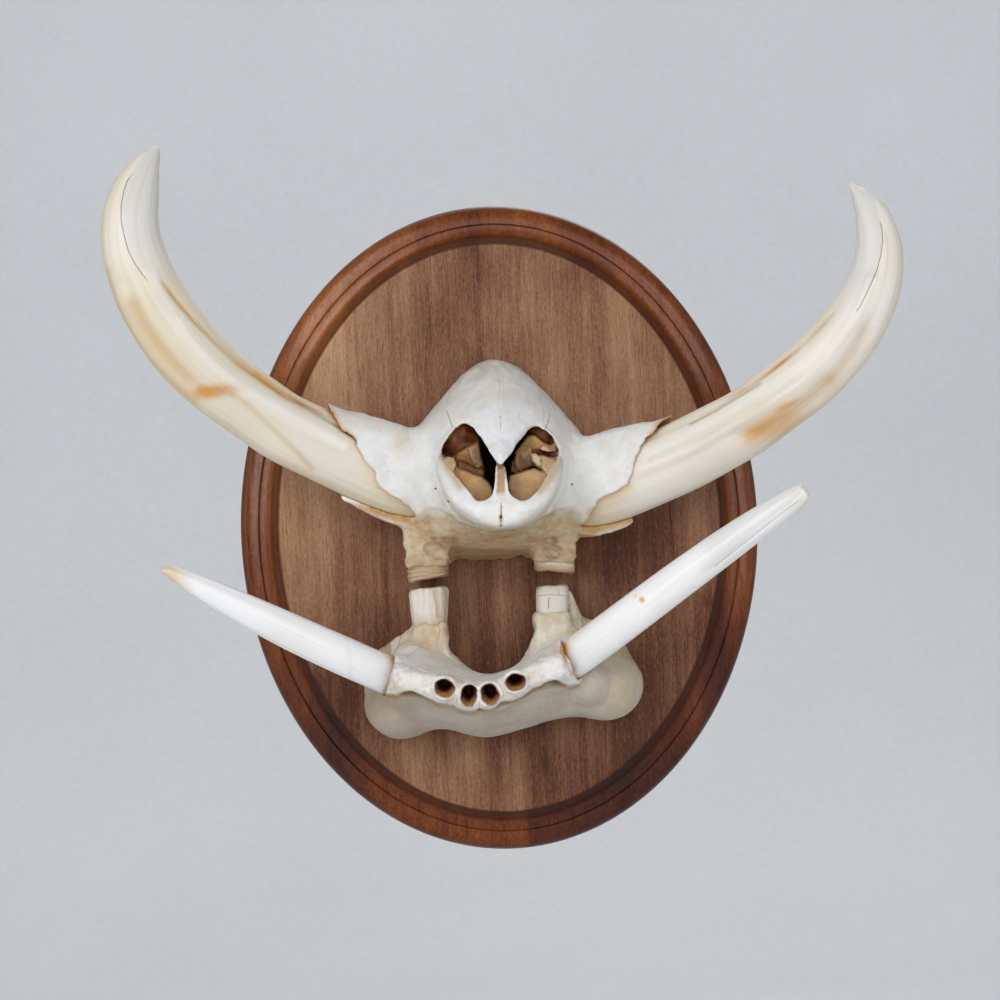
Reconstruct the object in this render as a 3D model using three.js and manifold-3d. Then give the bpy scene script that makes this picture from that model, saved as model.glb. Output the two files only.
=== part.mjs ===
// Warthog tusk mount: the sawn-off snout and lower-jaw tip of a warthog, each
// with its pair of tusks, fixed on an oval moulded wooden plaque.
//
// Frame: millimetres, +Z up, +X to the viewer's right, the jaws point along -Y.
// The origin is the centre of the plaque's flat back face, which lies on y = 0.
import * as THREE from 'three';
import { mergeVertices } from 'three/addons/utils/BufferGeometryUtils.js';
import Module from 'manifold-3d';

const wasm = await Module();
wasm.setup();

// ---------------------------------------------------------------- dimensions
const PLAQUE_HALF_WIDTH = 115.8;
const PLAQUE_HALF_HEIGHT = 144.1;
const FIELD_Y = -19.0;              // raised flat field of the plaque
const GAP = 0.3;                    // clearance between pieces that touch
const CUT_Y = FIELD_Y - GAP;        // sawn back faces of both jaws
const SOCKET_CLEARANCE = 0.4;       // tusk in its socket
const SLEEVE_WALL = 2.7;            // bone around the upper tusks
const UPPER_SIDES = 12;              // facets round each tusk and along it
const UPPER_STEPS = 27;
const LOWER_SIDES = 10;
const LOWER_STEPS = 18;
const JAW_SCREW_LENGTH = 29;        // from the head's top to the point
const JAW_SCREWS = {                // x, z of the screws through the plaque
  upper_jaw_screw_top: [1, 52],
  upper_jaw_screw_bottom: [-1, 18],
  lower_jaw_screw_left: [-42, -68],
  lower_jaw_screw_right: [40, -64],
};
const HANGER_Z = 112;
const HANGER_POCKET_DEPTH = 3.2;

// Moulded edge of the plaque: distance in from the outer edge, and y.
const PLAQUE_EDGE = [
  [0.8, 0], [0, -0.8], [0, -7.2], [0.5, -9.4], [1.8, -11.4], [4.0, -12.7],
  [7.9, -13.4], [8.7, -12.3], [12.4, -12.5], [14.4, -13.2], [16.2, -14.9],
  [17.1, -17.4], [17.5, -18.6], [18.1, FIELD_Y],
];

// Tusks: centre x, y, z, then half-width in the curve's plane and half-depth.
// The first rows are the root inside the bone, the last rows the tip.
const UPPER_TUSK_LEFT = [
  [-26.5, -43, 17.9, 10.5, 9.5], [-30.4, -43.5, 18.9, 14.0, 12.3],
  [-38.1, -45, 21.9, 15.8, 13.6], [-48.8, -47, 26.2, 16.4, 13.9],
  [-62.8, -51, 32.9, 15.9, 13.5], [-77.1, -56, 40.0, 15.4, 13.1],
  [-91.7, -62, 47.9, 15.1, 12.8], [-104.7, -68, 57.8, 14.9, 12.6],
  [-117.2, -74, 68.0, 15.1, 12.9], [-128.3, -78.5, 79.5, 15.4, 13.0],
  [-137.7, -82, 93.0, 15.2, 12.6], [-145.5, -84, 107.4, 14.5, 11.9],
  [-150.5, -84.5, 122.9, 13.4, 11.0], [-151.9, -84, 133.3, 12.6, 10.3],
  [-151.4, -83, 141.9, 11.8, 9.7], [-149.0, -81, 151.3, 10.2, 8.6],
  [-145.5, -79, 159.9, 7.2, 6.5], [-142.4, -77.5, 165.1, 4.3, 4.3],
  [-141.0, -76.8, 168.1, 2.1, 2.6],
];
const UPPER_TUSK_RIGHT = [
  [29.4, -43, 12.0, 10.5, 9.5], [33.3, -43.5, 12.7, 14.0, 12.3],
  [41.3, -45, 14.6, 15.8, 13.6], [51.9, -47, 17.6, 16.2, 13.7],
  [66.3, -51, 22.6, 15.9, 13.5], [81.2, -56, 28.1, 15.5, 13.2],
  [95.4, -62, 34.8, 15.1, 12.8], [109.2, -68, 41.8, 14.6, 12.4],
  [122.0, -74, 50.6, 14.4, 12.3], [134.9, -78.5, 59.8, 14.5, 12.2],
  [146.2, -82, 70.3, 14.0, 11.6], [155.9, -84, 82.2, 13.3, 10.9],
  [163.3, -84.5, 96.0, 12.1, 9.9], [166.4, -84, 107.0, 10.8, 8.9],
  [166.9, -83, 116.4, 9.5, 7.8], [165.0, -81, 126.9, 7.4, 6.3],
  [161.6, -79, 134.1, 4.7, 4.2], [158.9, -77.5, 138.2, 2.6, 2.6],
  [157.4, -76.8, 140.5, 1.4, 1.6],
];
const LOWER_TUSK_LEFT = [
  [-22.5, -46, -75.6, 5.2, 5.2], [-27.2, -49, -73.0, 7.0, 7.0],
  [-35.2, -57, -69.2, 8.0, 7.9], [-43.8, -68, -64.4, 8.3, 7.9],
  [-51.9, -78, -60.1, 8.3, 7.6], [-65.1, -84, -53.2, 8.2, 7.5],
  [-78.3, -88.5, -46.5, 8.3, 7.6], [-90.5, -92.5, -39.9, 8.1, 7.4],
  [-102.7, -96.5, -33.3, 7.3, 6.7], [-114.9, -100, -25.9, 6.4, 5.9],
  [-126.6, -103, -19.0, 5.2, 4.8], [-134.2, -105, -14.6, 3.8, 3.6],
  [-138.7, -106, -12.3, 2.6, 2.6], [-141.9, -106.6, -11.3, 1.1, 1.3],
];
const LOWER_TUSK_RIGHT = [
  [2.4, -46, -75.3, 5.2, 5.2], [6.9, -49, -72.7, 7.0, 7.0],
  [14.9, -57, -67.4, 8.0, 7.9], [23.7, -68, -61.2, 8.3, 7.9],
  [31.5, -78, -55.7, 8.4, 7.7], [42.8, -83, -48.0, 8.7, 8.0],
  [55.8, -88, -38.1, 8.5, 7.8], [68.8, -93, -29.2, 8.1, 7.4],
  [81.7, -97.5, -19.9, 7.9, 7.2], [94.5, -102, -10.6, 7.6, 7.0],
  [107.6, -106, -1.9, 6.1, 5.7], [118.2, -109.5, 5.3, 4.7, 4.5],
  [123.7, -111, 9.0, 3.6, 3.6], [127.1, -112, 11.4, 2.2, 2.6],
];

// Snout: outlines (x, z) of vertical sections from the sawn back face to the
// rounded front of the premaxilla. Each starts at the top and runs clockwise.
const SNOUT = [
  [CUT_Y, [[1.3, 74.2], [12.7, 69.7], [23.3, 58.6], [32.6, 47.5], [39.3, 37.4], [38.6, 19.6], [36.1, 1.9], [31.9, -11.3], [17.6, -13.8], [-0.2, -14.4], [-22.5, -13.4], [-39.2, -8.3], [-41.7, 5.2], [-42.3, 23.1], [-39.8, 40.8], [-33.3, 47.6], [-23.4, 58.3], [-10.9, 70.7]]],
  [-38, [[1.3, 73.3], [12.5, 68.6], [23.0, 57.6], [31.8, 47.1], [38.4, 36.3], [37.7, 19.6], [34.9, 4.3], [30.0, -7.8], [17.5, -10.8], [-0.1, -11.0], [-19.8, -9.2], [-36.8, -5.0], [-39.8, 7.4], [-40.9, 22.9], [-38.5, 39.5], [-32.0, 47.2], [-22.7, 57.3], [-10.3, 69.6]]],
  [-52, [[1.4, 65.5], [11.3, 62.0], [21.4, 53.3], [28.8, 44.3], [34.1, 34.5], [34.3, 19.6], [31.2, 6.7], [26.4, -4.0], [15.7, -7.9], [0.0, -8.6], [-17.4, -6.5], [-30.2, -1.6], [-34.1, 9.4], [-35.3, 22.6], [-33.0, 37.3], [-28.2, 46.7], [-19.1, 55.0], [-8.8, 62.9]]],
  [-64, [[1.5, 56.9], [10.4, 53.9], [19.7, 47.9], [26.7, 40.2], [30.7, 31.4], [30.6, 19.7], [27.1, 9.0], [22.0, -0.3], [13.1, -5.1], [0.1, -6.3], [-13.7, -3.9], [-22.1, 1.6], [-26.0, 11.3], [-28.1, 22.2], [-27.6, 33.9], [-23.4, 42.3], [-16.2, 49.4], [-7.3, 54.6]]],
  [-77, [[1.5, 47.9], [9.1, 45.4], [17.5, 39.9], [24.5, 34.1], [28.6, 27.9], [28.2, 19.7], [24.9, 11.3], [19.8, 4.2], [11.5, -1.4], [0.2, -3.1], [-10.8, -0.5], [-18.7, 5.9], [-23.5, 13.4], [-25.7, 22.0], [-25.8, 30.2], [-21.7, 36.0], [-14.6, 41.3], [-6.3, 46.1]]],
  [-90, [[1.6, 38.7], [7.4, 36.7], [15.3, 31.3], [22.8, 26.7], [26.8, 22.3], [27.1, 18.0], [24.3, 12.2], [19.8, 6.8], [11.5, 1.2], [0.3, -0.4], [-9.8, 2.1], [-17.6, 8.4], [-22.4, 14.2], [-24.7, 20.2], [-25.0, 24.5], [-21.0, 28.6], [-12.7, 32.5], [-4.0, 37.2]]],
  [-101, [[1.7, 31.3], [4.6, 29.5], [11.5, 24.5], [18.5, 20.4], [23.1, 17.3], [24.2, 14.3], [21.9, 10.2], [18.0, 6.5], [10.6, 2.2], [0.4, 0.5], [-8.8, 3.0], [-15.8, 8.0], [-19.8, 11.9], [-21.8, 16.2], [-20.8, 19.2], [-16.5, 21.9], [-9.1, 25.4], [-1.3, 29.7]]],
  [-108, [[1.2, 20.7], [4.6, 20.2], [10.4, 17.8], [16.1, 15.5], [19.8, 13.2], [20.2, 11.5], [18.0, 8.7], [14.5, 5.9], [8.4, 2.3], [0.4, 1.0], [-6.7, 3.0], [-12.4, 7.0], [-16.0, 10.1], [-18.0, 13.1], [-17.5, 14.8], [-14.1, 16.7], [-8.1, 18.6], [-2.1, 20.4]]],
  [-112, [[1.3, 12.3], [4.2, 12.2], [8.8, 11.6], [13.0, 11.0], [15.5, 10.0], [15.4, 8.8], [13.6, 6.7], [11.0, 4.8], [6.4, 2.9], [0.4, 1.9], [-5.0, 3.3], [-9.0, 5.6], [-11.5, 7.8], [-13.1, 10.0], [-13.0, 11.2], [-10.9, 12.0], [-6.7, 12.2], [-2.1, 12.4]]],
  [-113.6, [[1.2, 10.2], [3.3, 10.1], [6.6, 10.0], [10.0, 9.4], [12.0, 8.9], [12.0, 8.1], [10.3, 6.9], [8.1, 5.7], [4.7, 4.4], [0.5, 3.5], [-3.2, 4.7], [-6.1, 6.3], [-8.1, 7.7], [-9.7, 9.0], [-9.7, 9.8], [-7.6, 10.2], [-4.2, 10.4], [-0.9, 10.3]]],
];
// Nasal openings either side of the bony septum, and how deep they go.
const NOSTRIL_LEFT = [[-13.7, 45.6], [-10.4, 44.4], [-6.0, 38.7], [-2.1, 31.4], [-0.5, 28.4], [-1.1, 20.8], [-1.9, 15.8], [-4.6, 12.6], [-8.8, 12.3], [-12.8, 18.0], [-17.2, 23.6], [-22.6, 31.0], [-23.0, 34.4], [-22.1, 37.3], [-20.3, 39.8], [-16.4, 44.3]];
const NOSTRIL_RIGHT = [[17.8, 43.6], [14.8, 42.1], [9.9, 36.4], [5.4, 30.2], [3.6, 27.8], [4.6, 20.6], [4.8, 16.4], [6.0, 13.8], [10.9, 11.1], [16.2, 15.0], [20.7, 21.6], [25.5, 26.9], [26.5, 30.2], [26.6, 33.6], [24.3, 38.7], [21.9, 40.9]];
const NOSTRIL_BACK_Y = -66;

// Lower jaw: the same kind of sections through its body.
const MANDIBLE = [
  [CUT_Y, [[-7.8, -65.7], [11.3, -57.1], [27.5, -43.1], [44.4, -43.8], [55.0, -55.9], [58.7, -74.7], [48.8, -86.3], [24.3, -85.7], [-7.9, -90.6], [-30.0, -87.0], [-50.2, -90.6], [-61.8, -79.4], [-61.7, -67.4], [-54.4, -52.1], [-42.5, -45.5], [-25.1, -55.6]]],
  [-45, [[-7.6, -63.6], [10.2, -58.2], [25.5, -47.4], [40.8, -48.1], [50.9, -58.1], [54.2, -73.2], [44.2, -83.3], [23.1, -84.1], [-7.9, -91.1], [-27.4, -86.8], [-47.1, -87.3], [-58.5, -76.7], [-58.1, -66.7], [-51.4, -53.8], [-40.2, -47.3], [-23.9, -56.7]]],
  [-62, [[-8.4, -63.1], [8.7, -59.1], [22.4, -51.9], [35.4, -53.3], [41.1, -61.7], [39.0, -71.2], [29.6, -78.2], [15.1, -82.3], [-8.5, -87.0], [-24.8, -83.7], [-39.9, -80.4], [-50.4, -73.5], [-53.5, -65.5], [-49.2, -55.8], [-38.7, -52.3], [-23.7, -57.7]]],
  [-77, [[-9.2, -64.1], [6.4, -59.6], [19.6, -53.3], [26.8, -53.6], [30.0, -59.3], [28.9, -66.1], [18.8, -70.8], [6.1, -76.3], [-9.1, -80.8], [-24.4, -77.6], [-37.0, -72.8], [-47.2, -69.3], [-51.2, -62.7], [-48.3, -55.1], [-39.8, -55.5], [-24.5, -60.0]]],
  [-88, [[-10.0, -64.8], [4.6, -60.3], [17.6, -54.9], [24.5, -54.3], [28.1, -59.6], [26.6, -65.0], [16.7, -67.2], [5.0, -72.6], [-9.7, -77.1], [-24.1, -74.0], [-36.7, -69.6], [-45.1, -68.4], [-49.2, -63.1], [-46.4, -56.8], [-38.7, -57.6], [-24.8, -62.0]]],
  [-93.5, [[-10.1, -66.2], [3.7, -61.7], [15.8, -57.1], [21.7, -56.5], [24.6, -60.0], [23.1, -63.8], [14.6, -65.5], [3.8, -70.2], [-9.6, -74.3], [-23.9, -71.5], [-35.6, -67.2], [-42.4, -66.5], [-45.6, -63.0], [-43.3, -58.8], [-37.0, -59.5], [-24.4, -63.5]]],
];
// Empty incisor sockets along the front rim: x, z, half-width, half-height.
const INCISOR_SOCKETS = [
  [-26.0, -66.2, 3.9, 3.9], [-15.8, -69.8, 3.3, 4.2],
  [-6.8, -69.6, 3.6, 4.3], [4.2, -64.9, 4.0, 3.6],
];

// Bone blocks that carry the cheek teeth, and the teeth: x, y, z of the
// centre, then the full size along x, y, z.
const UPPER_BLOCKS = [
  { centre: [-32.3, -32.8, -8.5], size: [18.6, 26.8, 18] },
  { centre: [24.3, -32.8, -8.5], size: [17.6, 26.8, 16.5] },
];
const LOWER_COLUMNS = [
  { centre: [-32.6, -32.8, -55.5], size: [17.6, 26.8, 30] },
  { centre: [22.4, -32.8, -50.5], size: [20.5, 26.8, 25.4] },
];
const CHEEK_TEETH = {
  upper_cheek_tooth_left: { centre: [-32.6, -34.0, -13.6], size: [14.6, 19.6, 16.4] },
  upper_cheek_tooth_right: { centre: [24.4, -34.0, -13.0], size: [14.2, 19.6, 15.4] },
  lower_cheek_tooth_left: { centre: [-32.6, -34.0, -36.4], size: [14.6, 19.4, 19.4] },
  lower_cheek_tooth_right: { centre: [22.4, -34.0, -35.2], size: [13.6, 19.4, 15.6] },
};

// ------------------------------------------------------------------ materials
const material = (color, roughness, metalness = 0) =>
  new THREE.MeshStandardMaterial({ color, roughness, metalness });
const walnut = material(0x7a5038, 0.45);
const bone = material(0xe3ddcf, 0.7);
const ivory = material(0xe9e0cc, 0.38);
const dentine = material(0xd8cba8, 0.5);
const steel = material(0xb5b2a8, 0.4, 0.9);
const brassed = material(0xb59a5a, 0.4, 0.9);

// -------------------------------------------------------------------- helpers
// Signed volume of an indexed geometry, to keep its faces pointing out.
function volumeOf(geometry) {
  const p = geometry.attributes.position;
  const index = geometry.index.array;
  const a = new THREE.Vector3();
  const b = new THREE.Vector3();
  const c = new THREE.Vector3();
  let volume = 0;
  for (let i = 0; i < index.length; i += 3) {
    a.fromBufferAttribute(p, index[i]);
    b.fromBufferAttribute(p, index[i + 1]);
    c.fromBufferAttribute(p, index[i + 2]);
    volume += a.dot(b.cross(c)) / 6;
  }
  return volume;
}

// A closed three.js geometry as a solid that can be joined and cut.
function solid(source) {
  let geometry = source.clone();
  geometry.deleteAttribute('normal');
  geometry.deleteAttribute('uv');
  geometry = mergeVertices(geometry, 1e-4);
  const index = Array.from(geometry.index.array);
  const kept = [];
  const flip = volumeOf(geometry) < 0;
  for (let i = 0; i < index.length; i += 3) {
    const [a, b, c] = [index[i], index[i + 1], index[i + 2]];
    if (a === b || b === c || c === a) continue;
    if (flip) kept.push(a, c, b);
    else kept.push(a, b, c);
  }
  return new wasm.Manifold(new wasm.Mesh({
    numProp: 3,
    vertProperties: new Float32Array(geometry.attributes.position.array),
    triVerts: new Uint32Array(kept),
  }));
}

// The solid back as a named mesh.
function meshOf(name, body, look) {
  const raw = body.getMesh();
  const geometry = new THREE.BufferGeometry();
  geometry.setAttribute('position', new THREE.BufferAttribute(new Float32Array(raw.vertProperties), 3));
  geometry.setIndex(new THREE.BufferAttribute(new Uint32Array(raw.triVerts), 1));
  geometry.computeVertexNormals();
  const mesh = new THREE.Mesh(geometry, look);
  mesh.name = name;
  return mesh;
}

// A unit cylinder whose vertices are placed by place(t, angle, radius), with
// t from 0 at one end to 1 at the other.
function placedCylinder(sides, steps, place) {
  const geometry = new THREE.CylinderGeometry(1, 1, 1, sides, steps);
  const p = geometry.attributes.position;
  for (let i = 0; i < p.count; i++) {
    const radius = Math.hypot(p.getX(i), p.getZ(i));
    const angle = radius < 1e-6 ? 0 : Math.atan2(p.getX(i), p.getZ(i));
    const q = place(Math.min(Math.max(0.5 - p.getY(i), 0), 1), angle, radius < 0.5 ? 0 : 1);
    p.setXYZ(i, q.x, q.y, q.z);
  }
  return geometry;
}

// Loft through outlines that all have the same number of points.
function loft(stations, sides, steps) {
  const outlines = stations.map(([y, outline]) => new THREE.CatmullRomCurve3(
    outline.map(([x, z]) => new THREE.Vector3(x, y, z)), true, 'catmullrom', 0.5));
  const rails = [];
  for (let j = 0; j < sides; j++) {
    rails.push(new THREE.CatmullRomCurve3(
      outlines.map((curve) => curve.getPoint(j / sides)), false, 'catmullrom', 0.5));
  }
  return placedCylinder(sides, steps, (t, angle, radius) => {
    if (radius) {
      const j = Math.round((angle / (2 * Math.PI)) * sides + sides) % sides;
      return rails[j].getPoint(t);
    }
    const middle = new THREE.Vector3();
    rails.forEach((rail) => middle.add(rail.getPoint(t)));
    return middle.divideScalar(sides);
  });
}

// Sweep of an oval along rows of x, y, z, half-width, half-depth. grow makes
// it larger all round, from and to are row numbers, which may be fractions.
function sweep(rows, sides, steps, { grow = 0, from = 0, to = rows.length - 1 } = {}) {
  const last = rows.length - 1;
  const centre = new THREE.CatmullRomCurve3(
    rows.map((r) => new THREE.Vector3(r[0], r[1], r[2])), false, 'catmullrom', 0.5);
  const half = new THREE.SplineCurve(rows.map((r) => new THREE.Vector2(r[3], r[4])));
  const front = new THREE.Vector3(0, -1, 0);
  return placedCylinder(sides, steps, (t, angle, radius) => {
    const u = (from + (to - from) * t) / last;
    const c = centre.getPoint(u);
    if (!radius) return c;
    const along = centre.getPoint(Math.min(u + 0.01, 1)).sub(centre.getPoint(Math.max(u - 0.01, 0))).normalize();
    const depth = front.clone().addScaledVector(along, -front.dot(along)).normalize();
    const across = new THREE.Vector3().crossVectors(along, depth).normalize();
    const size = half.getPoint(u);
    return c.addScaledVector(across, (size.x + grow) * Math.cos(angle))
      .addScaledVector(depth, (size.y + grow) * Math.sin(angle));
  });
}

// Block with rounded corners and slightly waisted sides, standing along z.
function roundedBlock([cx, cy, cz], [sx, sy, sz], grow = 0, sides = 12) {
  const rings = [[0.86, -0.5], [0.98, -0.42], [1, 0], [0.98, 0.42], [0.86, 0.5]];
  return placedCylinder(sides, rings.length - 1, (t, angle, radius) => {
    const [scale, height] = rings[Math.round(t * (rings.length - 1))];
    const c = Math.cos(angle);
    const s = Math.sin(angle);
    const square = radius / Math.pow(Math.abs(c) ** 4 + Math.abs(s) ** 4, 0.25);
    return new THREE.Vector3(
      cx + c * square * scale * (sx / 2 + grow),
      cy + s * square * scale * (sy / 2 + grow),
      cz + height * (sz + 2 * grow));
  });
}

// Straight prism from an outline in x and z, from one y to another.
function prism(outline, fromY, toY) {
  const shape = new THREE.Shape(outline.map(([x, z]) => new THREE.Vector2(x, z)));
  const geometry = new THREE.ExtrudeGeometry(shape, { depth: fromY - toY, bevelEnabled: false, steps: 1 });
  geometry.rotateX(Math.PI / 2);
  geometry.translate(0, fromY, 0);
  return geometry;
}

// Large box that lies on the far side of a plane: everything with
// normal . p below level is inside it.
function beyond(normal, level) {
  const n = new THREE.Vector3(...normal).normalize();
  const geometry = new THREE.BoxGeometry(240, 240, 240);
  geometry.translate(0, 0, -120);
  geometry.applyQuaternion(new THREE.Quaternion().setFromUnitVectors(new THREE.Vector3(0, 0, 1), n));
  geometry.translate(n.x * level, n.y * level, n.z * level);
  return geometry;
}

// Part turned about its own axis, laid along y: profile rows are radius, y.
function turned(profile, sides = 10) {
  const geometry = new THREE.LatheGeometry(profile.map(([r, y]) => new THREE.Vector2(r, y)), sides);
  return geometry;
}

const group = new THREE.Group();

// --------------------------------------------------------------------- plaque
// Oval board with a moulded edge that follows the oval at a constant width.
function plaqueBlank() {
  const R = 100;
  const profile = [[0, 0], ...PLAQUE_EDGE.map(([inset, y]) => [R - inset, y]), [0, FIELD_Y]];
  const geometry = turned(profile, 48);
  const p = geometry.attributes.position;
  for (let i = 0; i < p.count; i++) {
    const radius = Math.hypot(p.getX(i), p.getZ(i));
    const y = p.getY(i);
    if (radius < 1e-4) {
      p.setXYZ(i, 0, y, 0);
      continue;
    }
    const angle = Math.atan2(p.getZ(i), p.getX(i));
    const inset = R - radius;
    const ex = PLAQUE_HALF_WIDTH * Math.cos(angle);
    const ez = PLAQUE_HALF_HEIGHT * Math.sin(angle);
    const nx = Math.cos(angle) / PLAQUE_HALF_WIDTH;
    const nz = Math.sin(angle) / PLAQUE_HALF_HEIGHT;
    const n = Math.hypot(nx, nz);
    p.setXYZ(i, ex - (nx / n) * inset, y, ez - (nz / n) * inset);
  }
  return geometry;
}

// Countersunk wood screw, head towards +Y, top of the head at y = 0.
const SCREW_HEAD = 4.0;
const SCREW_SHANK = 1.8;
const screwProfile = [
  [0, 0], [SCREW_HEAD, 0], [SCREW_HEAD, -0.5], [SCREW_SHANK, -3.0],
  [SCREW_SHANK, -(JAW_SCREW_LENGTH - 4)], [0.5, -JAW_SCREW_LENGTH], [0, -JAW_SCREW_LENGTH],
];
const screwHoleProfile = [
  [0, 2], [SCREW_HEAD + GAP, 2], [SCREW_HEAD + GAP, -0.5 - GAP], [SCREW_SHANK + GAP, -3.0 - GAP],
  [SCREW_SHANK + GAP, -(JAW_SCREW_LENGTH + 1)], [0, -(JAW_SCREW_LENGTH + 1)],
];
const SCREW_TOP_Y = -0.4;
const screwHole = (x, z) => turned(screwHoleProfile).translate(x, SCREW_TOP_Y, z);

// Sawtooth hanger in a shallow pocket near the top of the back, with two nails.
const HANGER_HALF_LENGTH = 22;
const NAIL_X = 18.6;
const nailProfile = [
  [0, 0], [1.9, 0], [1.9, -0.6], [0.7, -0.75], [0.7, -9.5], [0, -10.5],
];
const nailHoleProfile = [
  [0, 2], [0.7 + GAP, 2], [0.7 + GAP, -11.2], [0, -11.2],
];
const NAIL_TOP_Y = -1.3;

let plaque = solid(plaqueBlank());
for (const [x, z] of Object.values(JAW_SCREWS)) plaque = plaque.subtract(solid(screwHole(x, z)));
plaque = plaque.subtract(solid(new THREE.BoxGeometry(48, 2 * HANGER_POCKET_DEPTH, 15).translate(0, 0, HANGER_Z)));
for (const side of [-1, 1]) {
  plaque = plaque.subtract(solid(turned(nailHoleProfile, 10).translate(side * NAIL_X, NAIL_TOP_Y, HANGER_Z + 1.5)));
}
group.add(meshOf('plaque', plaque, walnut));

// The bent strip of the hanger, with teeth cut along its lower edge.
const strip = new THREE.Shape([
  [-HANGER_HALF_LENGTH, 2.9], [-15.5, 2.9], [-12.5, 1.5], [12.5, 1.5], [15.5, 2.9], [HANGER_HALF_LENGTH, 2.9],
  [HANGER_HALF_LENGTH, 2.1], [15.2, 2.1], [12.2, 0.7], [-12.2, 0.7], [-15.2, 2.1], [-HANGER_HALF_LENGTH, 2.1],
].map(([x, y]) => new THREE.Vector2(x, -y)));
let hanger = solid(new THREE.ExtrudeGeometry(strip, { depth: 9, bevelEnabled: false, steps: 1 })
  .translate(0, 0, HANGER_Z - 4.5));
for (let i = -5; i <= 5; i++) {
  const notch = new THREE.CylinderGeometry(1.3, 1.3, 4, 3);
  notch.rotateY(Math.PI / 2 + Math.PI);
  notch.rotateY(Math.PI / 2);
  notch.translate(i * 2.1, -1.2, HANGER_Z - 4.7);
  hanger = hanger.subtract(solid(notch));
}
for (const side of [-1, 1]) {
  hanger = hanger.subtract(solid(turned([[0, 2], [1.0, 2], [1.0, -4], [0, -4]], 10)
    .translate(side * NAIL_X, -1.3, HANGER_Z + 1.5)));
}
group.add(meshOf('hanger', hanger, brassed));

// Screws and nails stand in their holes, placed by their own positions.
for (const [name, [x, z]] of Object.entries(JAW_SCREWS)) {
  const screw = meshOf(name, solid(turned(screwProfile)), steel);
  screw.position.set(x, SCREW_TOP_Y, z);
  group.add(screw);
}
for (const [side, x] of [['left', -NAIL_X], ['right', NAIL_X]]) {
  const nail = meshOf(`hanger_nail_${side}`, solid(turned(nailProfile, 10)), brassed);
  nail.position.set(x, NAIL_TOP_Y, HANGER_Z + 1.5);
  group.add(nail);
}

// ------------------------------------------------------------------ upper jaw
// Snout with a flared sleeve of bone round each tusk root. Each sleeve is cut
// off at a slant, so that its back and its lower lip reach further out.
const upperSleeves = [
  [UPPER_TUSK_LEFT, [0.70, 0.69, 0.187], -77.4],
  [UPPER_TUSK_RIGHT, [-0.74, 0.62, 0.26], -77.3],
];
let upperJaw = solid(loft(SNOUT, 26, 14));
for (const [rows, normal, level] of upperSleeves) {
  upperJaw = upperJaw.add(solid(sweep(rows, 16, 8, { grow: SLEEVE_WALL, from: 0, to: 6.4 }))
    .subtract(solid(beyond(normal, level / new THREE.Vector3(...normal).length()))));
}
for (const block of UPPER_BLOCKS) upperJaw = upperJaw.add(solid(roundedBlock(block.centre, block.size)));
// Everything behind the saw cut goes.
upperJaw = upperJaw.subtract(solid(beyond([0, -1, 0], -CUT_Y)));
upperJaw = upperJaw.subtract(solid(prism(NOSTRIL_LEFT, NOSTRIL_BACK_Y, -125)));
upperJaw = upperJaw.subtract(solid(prism(NOSTRIL_RIGHT, NOSTRIL_BACK_Y, -125)));
for (const [rows] of upperSleeves) {
  const reach = rows.map((r, i) => (i === 0
    ? [r[0] + (r[0] - rows[1][0]) * 0.12, r[1], r[2] + (r[2] - rows[1][2]) * 0.12, r[3], r[4]] : r));
  upperJaw = upperJaw.subtract(solid(sweep(reach, UPPER_SIDES, UPPER_STEPS, { grow: SOCKET_CLEARANCE })));
}
for (const name of ['upper_cheek_tooth_left', 'upper_cheek_tooth_right']) {
  const { centre, size } = CHEEK_TEETH[name];
  upperJaw = upperJaw.subtract(solid(roundedBlock(centre, size, GAP)));
}
for (const name of ['upper_jaw_screw_top', 'upper_jaw_screw_bottom']) {
  upperJaw = upperJaw.subtract(solid(screwHole(...JAW_SCREWS[name])));
}
group.add(meshOf('upper_jaw', upperJaw, bone));

// ------------------------------------------------------------------ lower jaw
let lowerJaw = solid(loft(MANDIBLE, 24, 7));
for (const rows of [LOWER_TUSK_LEFT, LOWER_TUSK_RIGHT]) {
  lowerJaw = lowerJaw.add(solid(sweep(rows, 12, 5, { grow: 2.1, from: 1.2, to: 4.07 })));
}
for (const column of LOWER_COLUMNS) lowerJaw = lowerJaw.add(solid(roundedBlock(column.centre, column.size)));
lowerJaw = lowerJaw.subtract(solid(beyond([0, -1, 0], -CUT_Y)));
for (const [x, z, rx, rz] of INCISOR_SOCKETS) {
  const socket = new THREE.CylinderGeometry(0.7, 1, 24, 10);
  socket.scale(rx, 1, rz);
  socket.rotateX(Math.PI);
  socket.translate(x, -93, z);
  lowerJaw = lowerJaw.subtract(solid(socket));
}
for (const rows of [LOWER_TUSK_LEFT, LOWER_TUSK_RIGHT]) {
  const reach = rows.map((r, i) => (i === 0
    ? [r[0] + (r[0] - rows[1][0]) * 0.15, r[1] + 0.5, r[2] + (r[2] - rows[1][2]) * 0.15, r[3] + 0.2, r[4] + 0.2] : r));
  lowerJaw = lowerJaw.subtract(solid(sweep(reach, LOWER_SIDES, LOWER_STEPS, { grow: SOCKET_CLEARANCE })));
}
for (const name of ['lower_cheek_tooth_left', 'lower_cheek_tooth_right']) {
  const { centre, size } = CHEEK_TEETH[name];
  lowerJaw = lowerJaw.subtract(solid(roundedBlock(centre, size, GAP)));
}
for (const name of ['lower_jaw_screw_left', 'lower_jaw_screw_right']) {
  lowerJaw = lowerJaw.subtract(solid(screwHole(...JAW_SCREWS[name])));
}
group.add(meshOf('lower_jaw', lowerJaw, bone));

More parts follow.
